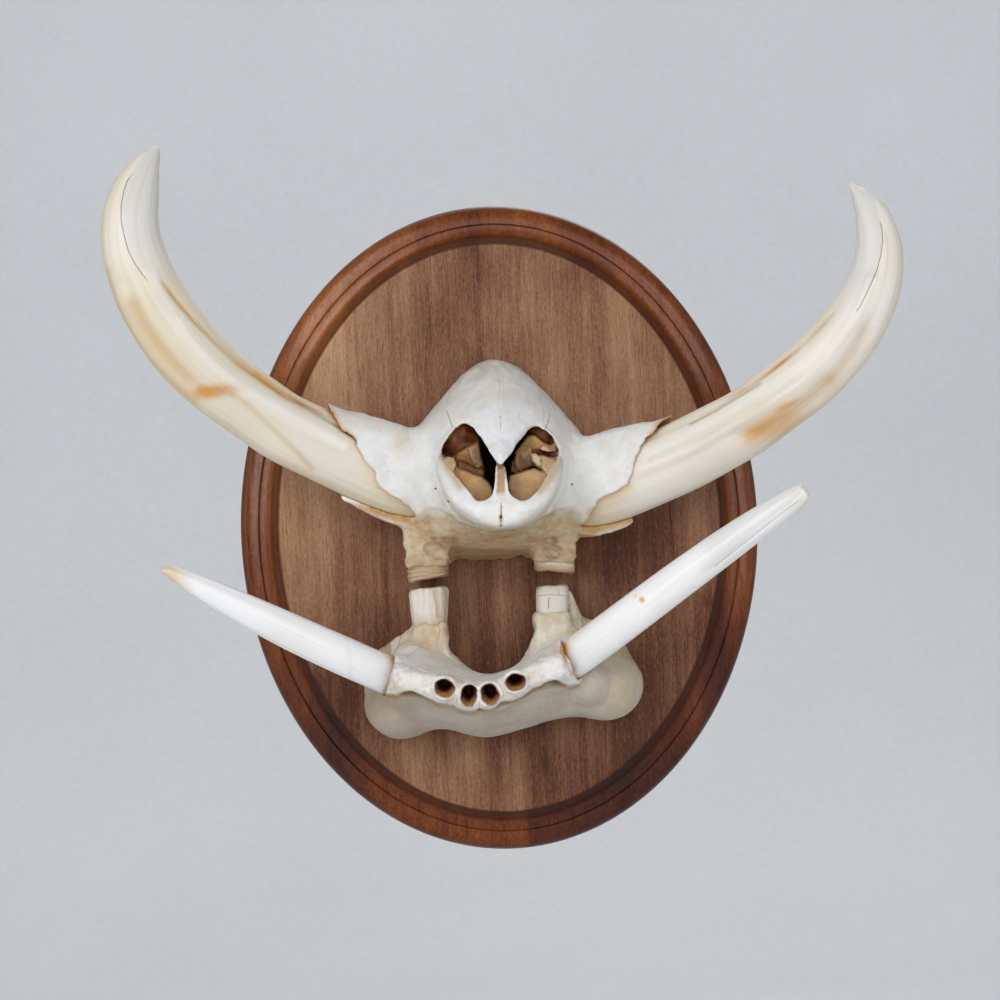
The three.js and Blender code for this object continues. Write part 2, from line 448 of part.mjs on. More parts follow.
// -------------------------------------------------------------- tusks and teeth
group.add(meshOf('upper_tusk_left', solid(sweep(UPPER_TUSK_LEFT, UPPER_SIDES, UPPER_STEPS)), ivory));
group.add(meshOf('upper_tusk_right', solid(sweep(UPPER_TUSK_RIGHT, UPPER_SIDES, UPPER_STEPS)), ivory));
group.add(meshOf('lower_tusk_left', solid(sweep(LOWER_TUSK_LEFT, LOWER_SIDES, LOWER_STEPS)), ivory));
group.add(meshOf('lower_tusk_right', solid(sweep(LOWER_TUSK_RIGHT, LOWER_SIDES, LOWER_STEPS)), ivory));
for (const [name, { centre, size }] of Object.entries(CHEEK_TEETH)) {
  const tooth = meshOf(name, solid(roundedBlock([0, 0, 0], size)), dentine);
  tooth.position.set(...centre);
  group.add(tooth);
}

export default group;
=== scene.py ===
# Looks of the warthog tusk mount. Everything is modelled in millimetres in the
# frame of the CAD and turned into metres when a mesh is made.
import math

import bpy
import numpy as np
import openvdb as vdb
from mathutils import Matrix, Vector


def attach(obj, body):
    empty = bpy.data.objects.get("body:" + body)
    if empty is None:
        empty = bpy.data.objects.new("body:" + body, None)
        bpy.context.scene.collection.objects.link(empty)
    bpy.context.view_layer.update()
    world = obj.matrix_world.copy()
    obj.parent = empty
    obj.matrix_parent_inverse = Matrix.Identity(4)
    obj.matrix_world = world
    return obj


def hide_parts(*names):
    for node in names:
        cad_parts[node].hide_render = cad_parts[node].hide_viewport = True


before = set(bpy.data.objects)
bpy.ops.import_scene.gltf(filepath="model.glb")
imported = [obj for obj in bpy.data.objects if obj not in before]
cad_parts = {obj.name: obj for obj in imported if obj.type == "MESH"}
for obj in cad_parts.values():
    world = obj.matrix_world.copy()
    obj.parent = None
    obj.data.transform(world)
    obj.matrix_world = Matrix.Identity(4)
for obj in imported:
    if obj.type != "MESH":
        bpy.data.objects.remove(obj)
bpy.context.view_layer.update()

# ---------------------------------------------------------------- the camera
ROLL = math.radians(2.42)
EYE = (0.88, -1610.0, 12.32)
FOCAL = 3575.4                      # in pixels of a 1000 x 1000 picture


def make_camera():
    data = bpy.data.cameras.new("camera")
    data.sensor_fit = "HORIZONTAL"
    data.sensor_width = 36.0
    data.lens = FOCAL / 1000 * 36.0
    data.clip_start, data.clip_end = 0.05, 30.0
    cam = bpy.data.objects.new("camera", data)
    bpy.context.scene.collection.objects.link(cam)
    right = Vector((math.cos(ROLL), 0, -math.sin(ROLL)))
    up = Vector((math.sin(ROLL), 0, math.cos(ROLL)))
    back = Vector((0, -1, 0))
    m = Matrix((right, up, back)).transposed().to_4x4()
    m.translation = Vector(EYE) * 0.001
    cam.matrix_world = m
    bpy.context.scene.camera = cam


make_camera()


def at(u, v, y):
    """x, z of the point at depth y that the camera sees at u, v."""
    k = (y - EYE[1]) / FOCAL
    a, b = (u - 500) * k, -(v - 500) * k
    c, s = math.cos(ROLL), math.sin(ROLL)
    return EYE[0] + a * c + b * s, EYE[2] - a * s + b * c


def seen(points):
    """Where the camera sees points: u, v of each."""
    x, y, z = points[..., 0], points[..., 1], points[..., 2]
    k = (y - EYE[1]) / FOCAL
    c, s = math.cos(ROLL), math.sin(ROLL)
    a = (x - EYE[0]) * c - (z - EYE[2]) * s
    b = (x - EYE[0]) * s + (z - EYE[2]) * c
    return 500 + a / k, 500 - b / k


# --------------------------------------------------------------- small maths
def smoothstep(a, b, x):
    t = np.clip((np.asarray(x, float) - a) / (b - a), 0, 1)
    return t * t * (3 - 2 * t)


def bump_of(x, centre, width):
    return np.exp(-((np.asarray(x, float) - centre) / width) ** 2)


def smin(a, b, k):
    h = np.clip(0.5 + 0.5 * (b - a) / k, 0, 1)
    return b + (a - b) * h - k * h * (1 - h)


def smax(a, b, k):
    h = np.clip(0.5 - 0.5 * (b - a) / k, 0, 1)
    return b + (a - b) * h + k * h * (1 - h)


def spline(points, t, closed=False):
    """Catmull-Rom curve through points, at t from 0 to 1."""
    P = np.asarray(points, float)
    n = len(P)
    t = np.asarray(t, float)
    if closed:
        u = (t % 1.0) * n
        i = np.floor(u).astype(int) % n
        w = u - np.floor(u)
        p0, p1, p2, p3 = P[(i - 1) % n], P[i], P[(i + 1) % n], P[(i + 2) % n]
    else:
        u = np.clip(t, 0, 1) * (n - 1)
        i = np.minimum(np.floor(u).astype(int), n - 2)
        w = u - i
        E = np.concatenate([[2 * P[0] - P[1]], P, [2 * P[-1] - P[-2]]])
        p0, p1, p2, p3 = E[i], E[i + 1], E[i + 2], E[i + 3]
    w = w.reshape(w.shape + (1,) * (p1.ndim - w.ndim))
    v0, v1 = (p2 - p0) * 0.5, (p3 - p1) * 0.5
    return ((2 * p1 - 2 * p2 + v0 + v1) * w ** 3
            + (-3 * p1 + 3 * p2 - 2 * v0 - v1) * w ** 2 + v0 * w + p1)


def lattice(seed):
    return np.random.default_rng(seed).uniform(-1, 1, (32, 32, 32))


LATTICES = [lattice(s) for s in range(11, 17)]


def noise(p, size, seed=0):
    """Smooth noise from -1 to 1 at points p, with features of a given size."""
    q = np.asarray(p, float) / np.asarray(size, float) + 7.3 * (seed + 1)
    i = np.floor(q).astype(int)
    f = q - i
    f = f * f * (3 - 2 * f)
    L = LATTICES[seed % len(LATTICES)]
    total = 0
    for dx in (0, 1):
        for dy in (0, 1):
            for dz in (0, 1):
                wx = f[..., 0] if dx else 1 - f[..., 0]
                wy = f[..., 1] if dy else 1 - f[..., 1]
                wz = f[..., 2] if dz else 1 - f[..., 2]
                total = total + L[(i[..., 0] + dx) % 32, (i[..., 1] + dy) % 32,
                                  (i[..., 2] + dz) % 32] * wx * wy * wz
    return total


def fractal(p, size, octaves=3, seed=0):
    total, amp, size = 0, 1.0, np.asarray(size, float)
    for k in range(octaves):
        total = total + amp * noise(p, size, seed + k)
        amp, size = amp * 0.5, size * 0.5
    return total


def to_outline(x, z, outline, closed=True):
    """Distance in the x-z plane to an outline, and whether each point is inside."""
    P = np.asarray(outline, float)
    best = np.full(np.broadcast(x, z).shape, 1e9)
    inside = np.zeros(best.shape, bool)
    n = len(P) if closed else len(P) - 1
    for i in range(n):
        (ax, az), (bx, bz) = P[i], P[(i + 1) % len(P)]
        dx, dz = bx - ax, bz - az
        t = np.clip(((x - ax) * dx + (z - az) * dz) / (dx * dx + dz * dz + 1e-12), 0, 1)
        best = np.minimum(best, (x - ax - t * dx) ** 2 + (z - az - t * dz) ** 2)
        if closed and abs(dz) > 1e-12:
            cross = ((az > z) != (bz > z)) & (x < dx * (z - az) / dz + ax)
            inside ^= cross
    return np.sqrt(best), inside


def signed(x, z, outline):
    """Signed distance in the x-z plane, negative inside the outline."""
    d, inside = to_outline(x, z, outline)
    return np.where(inside, -d, d)


# -------------------------------------------------------------- mesh helpers
def tube_faces(rings, sides):
    """Quads between rings of points, and a fan at each end."""
    i = np.arange(rings - 1)[:, None] * sides
    j = np.arange(sides)[None, :]
    k = (j + 1) % sides
    quads = np.stack([i + j, i + k, i + k + sides, i + j + sides], -1).reshape(-1, 4)
    first, last = rings * sides, rings * sides + 1
    j, k = j[0], k[0]
    tris = np.concatenate([
        np.stack([k, j, np.full(sides, first)], -1),
        np.stack([(rings - 1) * sides + j, (rings - 1) * sides + k, np.full(sides, last)], -1)])
    return quads, tris


def closed_tube(rings):
    """rings is (n, m, 3): a closed mesh with a middle point at each end."""
    n, m = rings.shape[:2]
    verts = np.concatenate([rings.reshape(-1, 3), rings[0].mean(0)[None], rings[-1].mean(0)[None]])
    quads, tris = tube_faces(n, m)
    return verts, quads, tris


def make(name, verts, quads=None, tris=None, smooth=True):
    me = bpy.data.meshes.new(name)
    quads = np.zeros((0, 4), int) if quads is None else np.asarray(quads)
    tris = np.zeros((0, 3), int) if tris is None else np.asarray(tris)
    me.vertices.add(len(verts))
    me.vertices.foreach_set("co", (np.asarray(verts) * 0.001).astype("f4").ravel())
    me.loops.add(quads.size + tris.size)
    me.loops.foreach_set("vertex_index", np.concatenate([quads.ravel(), tris.ravel()]).astype("i4"))
    me.polygons.add(len(quads) + len(tris))
    starts = np.concatenate([np.arange(len(quads)) * 4, quads.size + np.arange(len(tris)) * 3])
    me.polygons.foreach_set("loop_start", starts.astype("i4"))
    me.polygons.foreach_set("use_smooth", np.full(len(starts), smooth))
    me.update(calc_edges=True)
    me.validate()
    ob = bpy.data.objects.new(name, me)
    bpy.context.scene.collection.objects.link(ob)
    outward(me)
    return ob


def volume(verts, quads, tris):
    v = np.asarray(verts, float)
    total = 0.0
    for f in (tris, quads[:, [0, 1, 2]] if len(quads) else quads, quads[:, [0, 2, 3]] if len(quads) else quads):
        if len(f):
            total += np.einsum("ij,ij->i", v[f[:, 0]], np.cross(v[f[:, 1]], v[f[:, 2]])).sum()
    return total / 6


def outward(me):
    """Turns the faces outward if they point in."""
    co = np.empty(len(me.vertices) * 3, "f4")
    me.vertices.foreach_get("co", co)
    co = co.reshape(-1, 3).astype(float)
    me.calc_loop_triangles()
    t = np.empty(len(me.loop_triangles) * 3, "i4")
    me.loop_triangles.foreach_get("vertices", t)
    t = t.reshape(-1, 3)
    if np.einsum("ij,ij->i", co[t[:, 0]], np.cross(co[t[:, 1]], co[t[:, 2]])).sum() < 0:
        me.flip_normals()


def points_of(ob):
    co = np.empty(len(ob.data.vertices) * 3, "f4")
    ob.data.vertices.foreach_get("co", co)
    return co.reshape(-1, 3).astype(float) * 1000


def move_to(ob, points):
    ob.data.vertices.foreach_set("co", (points * 0.001).astype("f4").ravel())
    ob.data.update()


def normals_of(ob):
    no = np.empty(len(ob.data.vertices) * 3, "f4")
    ob.data.vertices.foreach_get("normal", no)
    return no.reshape(-1, 3).astype(float)


def values(ob, name, numbers):
    a = ob.data.attributes.new(name, "FLOAT", "POINT")
    a.data.foreach_set("value", np.asarray(numbers, "f4").ravel())


def apply_modifiers(ob):
    dg = bpy.context.evaluated_depsgraph_get()
    me = bpy.data.meshes.new_from_object(ob.evaluated_get(dg))
    ob.modifiers.clear()
    old = ob.data
    ob.data = me
    bpy.data.meshes.remove(old)
    me.name = ob.name


def put(ob, node, material, body="root"):
    ob.data.materials.clear()
    ob.data.materials.append(material)
    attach(ob, body)
    if node:
        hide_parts(*([node] if isinstance(node, str) else node))
    return ob


# -------------------------------------------------------- volumes, from vdb
class Volume:
    """A block of voxels that holds signed distances in millimetres."""

    def __init__(self, lo, hi, size, band=10.0):
        self.size, self.band = size, band
        self.first = np.floor(np.array(lo) / size).astype(int)
        self.shape = tuple(np.ceil(np.array(hi) / size).astype(int) - self.first + 1)
        axes = [(self.first[k] + np.arange(self.shape[k])) * size for k in range(3)]
        self.x = axes[0][:, None, None]
        self.y = axes[1][None, :, None]
        self.z = axes[2][None, None, :]

    def of(self, mesh, band=None):
        verts, quads, tris = mesh
        if volume(verts, quads, tris) < 0:
            quads, tris = quads[:, ::-1], tris[:, ::-1]
        grid = vdb.FloatGrid.createLevelSetFromPolygons(
            np.ascontiguousarray(verts, "f4"), triangles=np.ascontiguousarray(tris, "u4"),
            quads=np.ascontiguousarray(quads, "u4"),
            transform=vdb.createLinearTransform(voxelSize=self.size),
            halfWidth=(band or self.band) / self.size)
        out = np.empty(self.shape, "f4")
        grid.copyToArray(out, ijk=tuple(int(i) for i in self.first))
        return out

    def blob(self, centre, radii, turn=0.0, tilt=0.0):
        """Rough distance to an ellipsoid, turned about y and tilted about x."""
        x, y, z = self.x - centre[0], self.y - centre[1], self.z - centre[2]
        c, s = math.cos(math.radians(turn)), math.sin(math.radians(turn))
        x, z = x * c + z * s, -x * s + z * c
        c, s = math.cos(math.radians(tilt)), math.sin(math.radians(tilt))
        y, z = y * c + z * s, -y * s + z * c
        q = np.sqrt((x / radii[0]) ** 2 + (y / radii[1]) ** 2 + (z / radii[2]) ** 2)
        return ((q - 1) * min(radii)).astype("f4")

    def rod(self, a, b, ra, rb):
        """Distance to a rod from a to b with a round end of its own size each."""
        a, b = np.array(a, float), np.array(b, float)
        d = b - a
        x, y, z = self.x - a[0], self.y - a[1], self.z - a[2]
        t = np.clip((x * d[0] + y * d[1] + z * d[2]) / (d @ d), 0, 1)
        r = np.sqrt((x - t * d[0]) ** 2 + (y - t * d[1]) ** 2 + (z - t * d[2]) ** 2)
        return (r - (ra + (rb - ra) * t)).astype("f4")

    def sample(self, field, points):
        q = points / self.size - self.first
        q = np.clip(q, 0, np.array(self.shape) - 1.001)
        i = np.floor(q).astype(int)
        f = q - i
        total = 0
        for dx in (0, 1):
            for dy in (0, 1):
                for dz in (0, 1):
                    w = ((f[:, 0] if dx else 1 - f[:, 0]) * (f[:, 1] if dy else 1 - f[:, 1])
                         * (f[:, 2] if dz else 1 - f[:, 2]))
                    total = total + w * field[i[:, 0] + dx, i[:, 1] + dy, i[:, 2] + dz]
        return total

    def surface(self, name, field, limit=None):
        field = np.clip(field, -3 * self.size, 3 * self.size).astype("f4")
        field[0], field[-1] = 3 * self.size, 3 * self.size
        field[:, 0], field[:, -1] = 3 * self.size, 3 * self.size
        field[:, :, 0], field[:, :, -1] = 3 * self.size, 3 * self.size
        grid = vdb.FloatGrid(3 * self.size)
        grid.transform = vdb.createLinearTransform(voxelSize=self.size)
        grid.copyFromArray(field, ijk=tuple(int(i) for i in self.first))
        points, tris, quads = grid.convertToPolygons(0.0, 0.0)
        ob = make(name, points.astype(float), quads.astype(int), tris.astype(int))
        keep_largest(ob)
        count = sum(len(p.vertices) - 2 for p in ob.data.polygons)
        if limit and count > limit:
            mod = ob.modifiers.new("fewer", "DECIMATE")
            mod.ratio = limit / count
            apply_modifiers(ob)
            for p in ob.data.polygons:
                p.use_smooth = True
        return ob


def blur(field, times=1):
    for _ in range(times):
        for axis in range(3):
            f = np.moveaxis(field, axis, 0)
            g = f.copy()
            g[1:-1] = 0.25 * f[:-2] + 0.5 * f[1:-1] + 0.25 * f[2:]
            field = np.moveaxis(g, 0, axis)
    return field


def keep_largest(ob):
    """Drops loose crumbs, so that the piece is one connected body."""
    import bmesh
    bm = bmesh.new()
    bm.from_mesh(ob.data)
    bm.verts.ensure_lookup_table()
    label = np.full(len(bm.verts), -1)
    groups = []
    for v in bm.verts:
        if label[v.index] >= 0:
            continue
        stack, count = [v], 0
        label[v.index] = len(groups)
        while stack:
            w = stack.pop()
            count += 1
            for e in w.link_edges:
                o = e.other_vert(w)
                if label[o.index] < 0:
                    label[o.index] = len(groups)
                    stack.append(o)
        groups.append(count)
    if len(groups) > 1:
        best = int(np.argmax(groups))
        bmesh.ops.delete(bm, geom=[v for v in bm.verts if label[v.index] != best], context="VERTS")
        bm.to_mesh(ob.data)
    bm.free()
    return ob


def hollows(vol, field, points, normals, reaches=(1.5, 3.0, 5.5)):
    """How shut in each point is, from 0 in the open to 1 deep in a hollow."""
    total = 0
    for d in reaches:
        total = total + np.clip(1 - vol.sample(field, points + normals * d) / (0.85 * d), 0, 1)
    return total / len(reaches)


def field_normals(vol, field, points):
    e = vol.size
    g = np.stack([vol.sample(field, points + np.eye(3)[k] * e)
                  - vol.sample(field, points - np.eye(3)[k] * e) for k in range(3)], -1)
    return g / (np.linalg.norm(g, axis=1, keepdims=True) + 1e-9)


# ------------------------------------------------------- measures of the CAD
FIELD_Y = -19.0
CUT_Y = -19.3
UPPER_TUSK_LEFT = [
    [-26.5, -43, 17.9, 10.5, 9.5], [-30.4, -43.5, 18.9, 14.0, 12.3],
    [-38.1, -45, 21.9, 15.8, 13.6], [-48.8, -47, 26.2, 16.4, 13.9],
    [-62.8, -51, 32.9, 15.9, 13.5], [-77.1, -56, 40.0, 15.4, 13.1],
    [-91.7, -62, 47.9, 15.1, 12.8], [-104.7, -68, 57.8, 14.9, 12.6],
    [-117.2, -74, 68.0, 15.1, 12.9], [-128.3, -78.5, 79.5, 15.4, 13.0],
    [-137.7, -82, 93.0, 15.2, 12.6], [-145.5, -84, 107.4, 14.5, 11.9],
    [-150.5, -84.5, 122.9, 13.4, 11.0], [-151.9, -84, 133.3, 12.6, 10.3],
    [-151.4, -83, 141.9, 11.8, 9.7], [-149.0, -81, 151.3, 10.2, 8.6],
    [-145.5, -79, 159.9, 7.2, 6.5], [-142.4, -77.5, 165.1, 4.3, 4.3],
    [-141.0, -76.8, 168.1, 2.1, 2.6],
]
UPPER_TUSK_RIGHT = [
    [29.4, -43, 12.0, 10.5, 9.5], [33.3, -43.5, 12.7, 14.0, 12.3],
    [41.3, -45, 14.6, 15.8, 13.6], [51.9, -47, 17.6, 16.2, 13.7],
    [66.3, -51, 22.6, 15.9, 13.5], [81.2, -56, 28.1, 15.5, 13.2],
    [95.4, -62, 34.8, 15.1, 12.8], [109.2, -68, 41.8, 14.6, 12.4],
    [122.0, -74, 50.6, 14.4, 12.3], [134.9, -78.5, 59.8, 14.5, 12.2],
    [146.2, -82, 70.3, 14.0, 11.6], [155.9, -84, 82.2, 13.3, 10.9],
    [163.3, -84.5, 96.0, 12.1, 9.9], [166.4, -84, 107.0, 10.8, 8.9],
    [166.9, -83, 116.4, 9.5, 7.8], [165.0, -81, 126.9, 7.4, 6.3],
    [161.6, -79, 134.1, 4.7, 4.2], [158.9, -77.5, 138.2, 2.6, 2.6],
    [157.4, -76.8, 140.5, 1.4, 1.6],
]
LOWER_TUSK_LEFT = [
    [-22.5, -46, -75.6, 5.2, 5.2], [-27.2, -49, -73.0, 7.0, 7.0],
    [-35.2, -57, -69.2, 8.0, 7.9], [-43.8, -68, -64.4, 8.3, 7.9],
    [-51.9, -78, -60.1, 8.3, 7.6], [-65.1, -84, -53.2, 8.2, 7.5],
    [-78.3, -88.5, -46.5, 8.3, 7.6], [-90.5, -92.5, -39.9, 8.1, 7.4],
    [-102.7, -96.5, -33.3, 7.3, 6.7], [-114.9, -100, -25.9, 6.4, 5.9],
    [-126.6, -103, -19.0, 5.2, 4.8], [-134.2, -105, -14.6, 3.8, 3.6],
    [-138.7, -106, -12.3, 2.6, 2.6], [-141.9, -106.6, -11.3, 1.1, 1.3],
]
LOWER_TUSK_RIGHT = [
    [2.4, -46, -75.3, 5.2, 5.2], [6.9, -49, -72.7, 7.0, 7.0],
    [14.9, -57, -67.4, 8.0, 7.9], [23.7, -68, -61.2, 8.3, 7.9],
    [31.5, -78, -55.7, 8.4, 7.7], [42.8, -83, -48.0, 8.7, 8.0],
    [55.8, -88, -38.1, 8.5, 7.8], [68.8, -93, -29.2, 8.1, 7.4],
    [81.7, -97.5, -19.9, 7.9, 7.2], [94.8, -102, -10.9, 7.9, 7.1],
    [108.0, -106, -2.5, 7.0, 6.2], [118.8, -109.5, 4.4, 5.9, 5.2],
    [124.5, -111, 8.0, 4.9, 4.3], [127.8, -112, 10.4, 3.9, 3.3],
]
SNOUT = [
    [CUT_Y, [[1.3, 74.2], [12.7, 69.7], [23.3, 58.6], [32.6, 47.5], [39.3, 37.4], [38.6, 19.6], [36.1, 1.9], [31.9, -11.3], [17.6, -13.8], [-0.2, -14.4], [-22.5, -13.4], [-39.2, -8.3], [-41.7, 5.2], [-42.3, 23.1], [-39.8, 40.8], [-33.3, 47.6], [-23.4, 58.3], [-10.9, 70.7]]],
    [-38, [[1.3, 73.3], [12.5, 68.6], [23.0, 57.6], [31.8, 47.1], [38.4, 36.3], [37.7, 19.6], [34.9, 4.3], [30.0, -7.8], [17.5, -10.8], [-0.1, -11.0], [-19.8, -9.2], [-36.8, -5.0], [-39.8, 7.4], [-40.9, 22.9], [-38.5, 39.5], [-32.0, 47.2], [-22.7, 57.3], [-10.3, 69.6]]],
    [-52, [[1.4, 65.5], [11.3, 62.0], [21.4, 53.3], [28.8, 44.3], [34.1, 34.5], [34.3, 19.6], [31.2, 6.7], [26.4, -4.0], [15.7, -7.9], [0.0, -8.6], [-17.4, -6.5], [-30.2, -1.6], [-34.1, 9.4], [-35.3, 22.6], [-33.0, 37.3], [-28.2, 46.7], [-19.1, 55.0], [-8.8, 62.9]]],
    [-64, [[1.5, 56.9], [10.4, 53.9], [19.7, 47.9], [26.7, 40.2], [30.7, 31.4], [30.6, 19.7], [27.1, 9.0], [22.0, -0.3], [13.1, -5.1], [0.1, -6.3], [-13.7, -3.9], [-22.1, 1.6], [-26.0, 11.3], [-28.1, 22.2], [-27.6, 33.9], [-23.4, 42.3], [-16.2, 49.4], [-7.3, 54.6]]],
    [-77, [[1.5, 47.9], [9.1, 45.4], [17.5, 39.9], [24.5, 34.1], [28.6, 27.9], [28.2, 19.7], [24.9, 11.3], [19.8, 4.2], [11.5, -1.4], [0.2, -3.1], [-10.8, -0.5], [-18.7, 5.9], [-23.5, 13.4], [-25.7, 22.0], [-25.8, 30.2], [-21.7, 36.0], [-14.6, 41.3], [-6.3, 46.1]]],
    [-90, [[1.6, 38.7], [7.4, 36.7], [15.3, 31.3], [22.8, 26.7], [26.8, 22.3], [27.1, 18.0], [24.3, 12.2], [19.8, 6.8], [11.5, 1.2], [0.3, -0.4], [-9.8, 2.1], [-17.6, 8.4], [-22.4, 14.2], [-24.7, 20.2], [-25.0, 24.5], [-21.0, 28.6], [-12.7, 32.5], [-4.0, 37.2]]],
    [-101, [[1.7, 31.3], [4.6, 29.5], [11.5, 24.5], [18.5, 20.4], [23.1, 17.3], [24.2, 14.3], [21.9, 10.2], [18.0, 6.5], [10.6, 2.2], [0.4, 0.5], [-8.8, 3.0], [-15.8, 8.0], [-19.8, 11.9], [-21.8, 16.2], [-20.8, 19.2], [-16.5, 21.9], [-9.1, 25.4], [-1.3, 29.7]]],
    [-108, [[1.2, 20.7], [4.6, 20.2], [10.4, 17.8], [16.1, 15.5], [19.8, 13.2], [20.2, 11.5], [18.0, 8.7], [14.5, 5.9], [8.4, 2.3], [0.4, 1.0], [-6.7, 3.0], [-12.4, 7.0], [-16.0, 10.1], [-18.0, 13.1], [-17.5, 14.8], [-14.1, 16.7], [-8.1, 18.6], [-2.1, 20.4]]],
    [-112, [[1.3, 12.3], [4.2, 12.2], [8.8, 11.6], [13.0, 11.0], [15.5, 10.0], [15.4, 8.8], [13.6, 6.7], [11.0, 4.8], [6.4, 2.9], [0.4, 1.9], [-5.0, 3.3], [-9.0, 5.6], [-11.5, 7.8], [-13.1, 10.0], [-13.0, 11.2], [-10.9, 12.0], [-6.7, 12.2], [-2.1, 12.4]]],
    [-113.6, [[1.2, 10.2], [3.3, 10.1], [6.6, 10.0], [10.0, 9.4], [12.0, 8.9], [12.0, 8.1], [10.3, 6.9], [8.1, 5.7], [4.7, 4.4], [0.5, 3.5], [-3.2, 4.7], [-6.1, 6.3], [-8.1, 7.7], [-9.7, 9.0], [-9.7, 9.8], [-7.6, 10.2], [-4.2, 10.4], [-0.9, 10.3]]],
]
NOSTRIL_LEFT = [[-13.7, 45.6], [-10.4, 44.4], [-6.0, 38.7], [-2.1, 31.4], [-0.5, 28.4], [-1.1, 20.8], [-1.9, 15.8], [-4.6, 12.6], [-8.8, 12.3], [-12.8, 18.0], [-17.2, 23.6], [-22.6, 31.0], [-23.0, 34.4], [-22.1, 37.3], [-20.3, 39.8], [-16.4, 44.3]]
NOSTRIL_RIGHT = [[17.8, 43.6], [14.8, 42.1], [9.9, 36.4], [5.4, 30.2], [3.6, 27.8], [4.6, 20.6], [4.8, 16.4], [6.0, 13.8], [10.9, 11.1], [16.2, 15.0], [20.7, 21.6], [25.5, 26.9], [26.5, 30.2], [26.6, 33.6], [24.3, 38.7], [21.9, 40.9]]
MANDIBLE = [
    [CUT_Y, [[-7.8, -65.7], [11.3, -57.1], [27.5, -43.1], [44.4, -43.8], [55.0, -55.9], [58.7, -74.7], [48.8, -86.3], [24.3, -85.7], [-7.9, -90.6], [-30.0, -87.0], [-50.2, -90.6], [-61.8, -79.4], [-61.7, -67.4], [-54.4, -52.1], [-42.5, -45.5], [-25.1, -55.6]]],
    [-45, [[-7.6, -63.6], [10.2, -58.2], [25.5, -47.4], [40.8, -48.1], [50.9, -58.1], [54.2, -73.2], [44.2, -83.3], [23.1, -84.1], [-7.9, -91.1], [-27.4, -86.8], [-47.1, -87.3], [-58.5, -76.7], [-58.1, -66.7], [-51.4, -53.8], [-40.2, -47.3], [-23.9, -56.7]]],
    [-62, [[-8.4, -63.1], [8.7, -59.1], [22.4, -51.9], [35.4, -53.3], [41.1, -61.7], [39.0, -71.2], [29.6, -78.2], [15.1, -82.3], [-8.5, -87.0], [-24.8, -83.7], [-39.9, -80.4], [-50.4, -73.5], [-53.5, -65.5], [-49.2, -55.8], [-38.7, -52.3], [-23.7, -57.7]]],
    [-77, [[-9.2, -64.1], [6.4, -59.6], [19.6, -53.3], [26.8, -53.6], [30.0, -59.3], [28.9, -66.1], [18.8, -70.8], [6.1, -76.3], [-9.1, -80.8], [-24.4, -77.6], [-37.0, -72.8], [-47.2, -69.3], [-51.2, -62.7], [-48.3, -55.1], [-39.8, -55.5], [-24.5, -60.0]]],
    [-88, [[-10.0, -64.8], [4.6, -60.3], [17.6, -54.9], [24.5, -54.3], [28.1, -59.6], [26.6, -65.0], [16.7, -67.2], [5.0, -72.6], [-9.7, -77.1], [-24.1, -74.0], [-36.7, -69.6], [-45.1, -68.4], [-49.2, -63.1], [-46.4, -56.8], [-38.7, -57.6], [-24.8, -62.0]]],
    [-93.5, [[-10.1, -66.2], [3.7, -61.7], [15.8, -57.1], [21.7, -56.5], [24.6, -60.0], [23.1, -63.8], [14.6, -65.5], [3.8, -70.2], [-9.6, -74.3], [-23.9, -71.5], [-35.6, -67.2], [-42.4, -66.5], [-45.6, -63.0], [-43.3, -58.8], [-37.0, -59.5], [-24.4, -63.5]]],
]
INCISOR_SOCKETS = [(-26.0, -66.2, 3.9, 3.9), (-15.8, -69.8, 3.3, 4.2),
                   (-6.8, -69.6, 3.6, 4.3), (4.2, -64.9, 4.0, 3.6)]
JAW_SCREWS = {"upper_jaw_screw_top": (1, 52), "upper_jaw_screw_bottom": (-1, 18),
              "lower_jaw_screw_left": (-42, -68), "lower_jaw_screw_right": (40, -64)}


def loft(stations, sides, steps):
    """Closed mesh through outlines that have the same number of points."""
    outlines = np.array([[(x, y, z) for x, z in outline] for y, outline in stations])
    ring = spline(np.swapaxes(outlines, 0, 1), np.arange(sides) / sides, closed=True)
    rings = spline(np.swapaxes(ring, 0, 1), np.linspace(0, 1, steps))
    return closed_tube(rings)


def curve_frames(rows, u):
    """Centre, direction, across and depth of a tusk at row numbers u."""
    rows = np.asarray(rows, float)
    last = len(rows) - 1
    c = spline(rows[:, :3], u / last)
    d = spline(rows[:, :3], np.minimum(u / last + 0.01, 1)) - spline(rows[:, :3], np.maximum(u / last - 0.01, 0))
    d /= np.linalg.norm(d, axis=-1, keepdims=True)
    front = np.array([0, -1.0, 0])
    depth = front - d * (d @ front)[:, None]
    depth /= np.linalg.norm(depth, axis=-1, keepdims=True)
    across = np.cross(d, depth)
    across /= np.linalg.norm(across, axis=-1, keepdims=True)
    half = spline(rows[:, 3:5], u / last)
    return c, d, across, depth, half


def sweep(rows, u, sides, grow=0.0):
    """Closed tube along a tusk. grow may be a function of (angle, row number)."""
    c, d, across, depth, half = curve_frames(rows, u)
    phi = np.arange(sides) / sides * 2 * np.pi
    g = grow(phi[None, :], u[:, None]) if callable(grow) else grow
    w = (half[:, 0][:, None] + g)[..., None]
    h = (half[:, 1][:, None] + g)[..., None]
    rings = (c[:, None] + across[:, None] * w * np.cos(phi)[None, :, None]
             + depth[:, None] * h * np.sin(phi)[None, :, None])
    return closed_tube(rings)


# ------------------------------------------------------------------ materials
def rgb(r, g, b, gain=1.0):
    """An sRGB colour as linear values."""
    out = []
    for c in (r, g, b):
        c /= 255
        out.append(min(1.0, gain * (c / 12.92 if c <= 0.04045 else ((c + 0.055) / 1.055) ** 2.4)))
    return (*out, 1.0)


